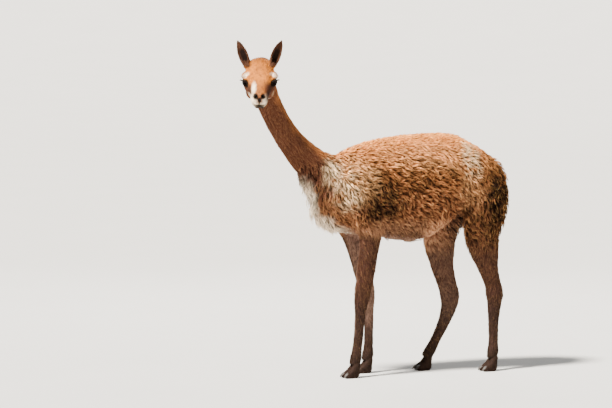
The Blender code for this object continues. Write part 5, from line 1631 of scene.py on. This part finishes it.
def bowlFloor():
    # A wide pale floor that rises far away all round: rings about the origin, whose height is the square of how
    # far they are past the flat part
    outer = np.linspace(bowl["flat"], bowl["reach"], bowl["rings"])[1:]
    radius = np.concatenate([np.linspace(1.0, bowl["flat"], 12), outer])
    turn = np.linspace(0, 2 * np.pi, bowl["segments"], endpoint=False)
    high = bowl["rise"] * np.clip((radius - bowl["flat"]) / (bowl["reach"] - bowl["flat"]), 0, 1) ** 2
    rings = [np.outer(radius, np.cos(turn)), np.outer(radius, np.sin(turn)), np.outer(high, 1 + 0 * turn)]
    segments = len(turn)
    i, j = ringGrid(len(radius), segments)
    faces = np.column_stack([i, i + segments, j + segments, j]).tolist() + [list(range(segments))]
    mesh = bpy.data.meshes.new("floor")
    mesh.from_pydata(np.stack(rings, axis=-1).reshape(-1, 3).tolist(), [], faces)
    floor = objectOf("floor", mesh)
    sheet = Sheet("floor", 0.9, Specular_IOR_Level=0.1)
    grain = sheet.noise(sheet.place(), 1.5, 2.0)
    sheet.feed(Base_Color=sheet.mix(grain, linear("floor", 0.97), linear("floor", 1.03)))
    floor.data.materials.append(sheet.material)
    floor.data.polygons.foreach_set("use_smooth", np.ones(len(faces), bool))
    floor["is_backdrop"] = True


def studio():
    # A broad, soft key from the upper left, a fill and a rim
    for name, (kind, place, target, energy, colour, settings) in lights.items():
        data = bpy.data.lights.new(name, kind)
        data.energy, data.color = energy, colour
        for key, value in settings.items():
            setattr(data, key, value)
        made = objectOf(name, data)
        made.location = place
        made.rotation_euler = (Vector(target) - Vector(place)).to_track_quat("-Z", "Y").to_euler()
    world = bpy.data.worlds.new("studio")
    world.use_nodes = True
    background = world.node_tree.nodes["Background"].inputs
    background["Color"].default_value = sky["colour"]
    background["Strength"].default_value = sky["strength"]
    bpy.context.scene.world = world


def camera():
    # The photograph's view: from the animal's left front, a little above the belly
    view = {"target": (-0.521, 0.0, 0.686), "azimuth": -24.0, "elevation": 3.5, "distance": 13.0, "lens": 195.0}
    a, e = math.radians(view["azimuth"]), math.radians(view["elevation"])
    back = Vector((math.sin(a) * math.cos(e), -math.cos(a) * math.cos(e), math.sin(e)))
    data = bpy.data.cameras.new("camera")
    data.lens, data.sensor_width, data.clip_end = view["lens"], 36.0, 100.0
    made = objectOf("camera", data)
    made.location = Vector(view["target"]) + Vector(offset) + back * view["distance"]
    made.rotation_mode = "QUATERNION"
    made.rotation_quaternion = (-back).to_track_quat("-Z", "Y")
    bpy.context.scene.camera = made


bowlFloor()
studio()
camera()
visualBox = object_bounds()
grownBy = [round(1000 * float(v), 1) for v in (*(cadBox[0] - visualBox[0]), *(visualBox[1] - cadBox[1]))]
print("stands proud of the solids by, in mm:", grownBy)
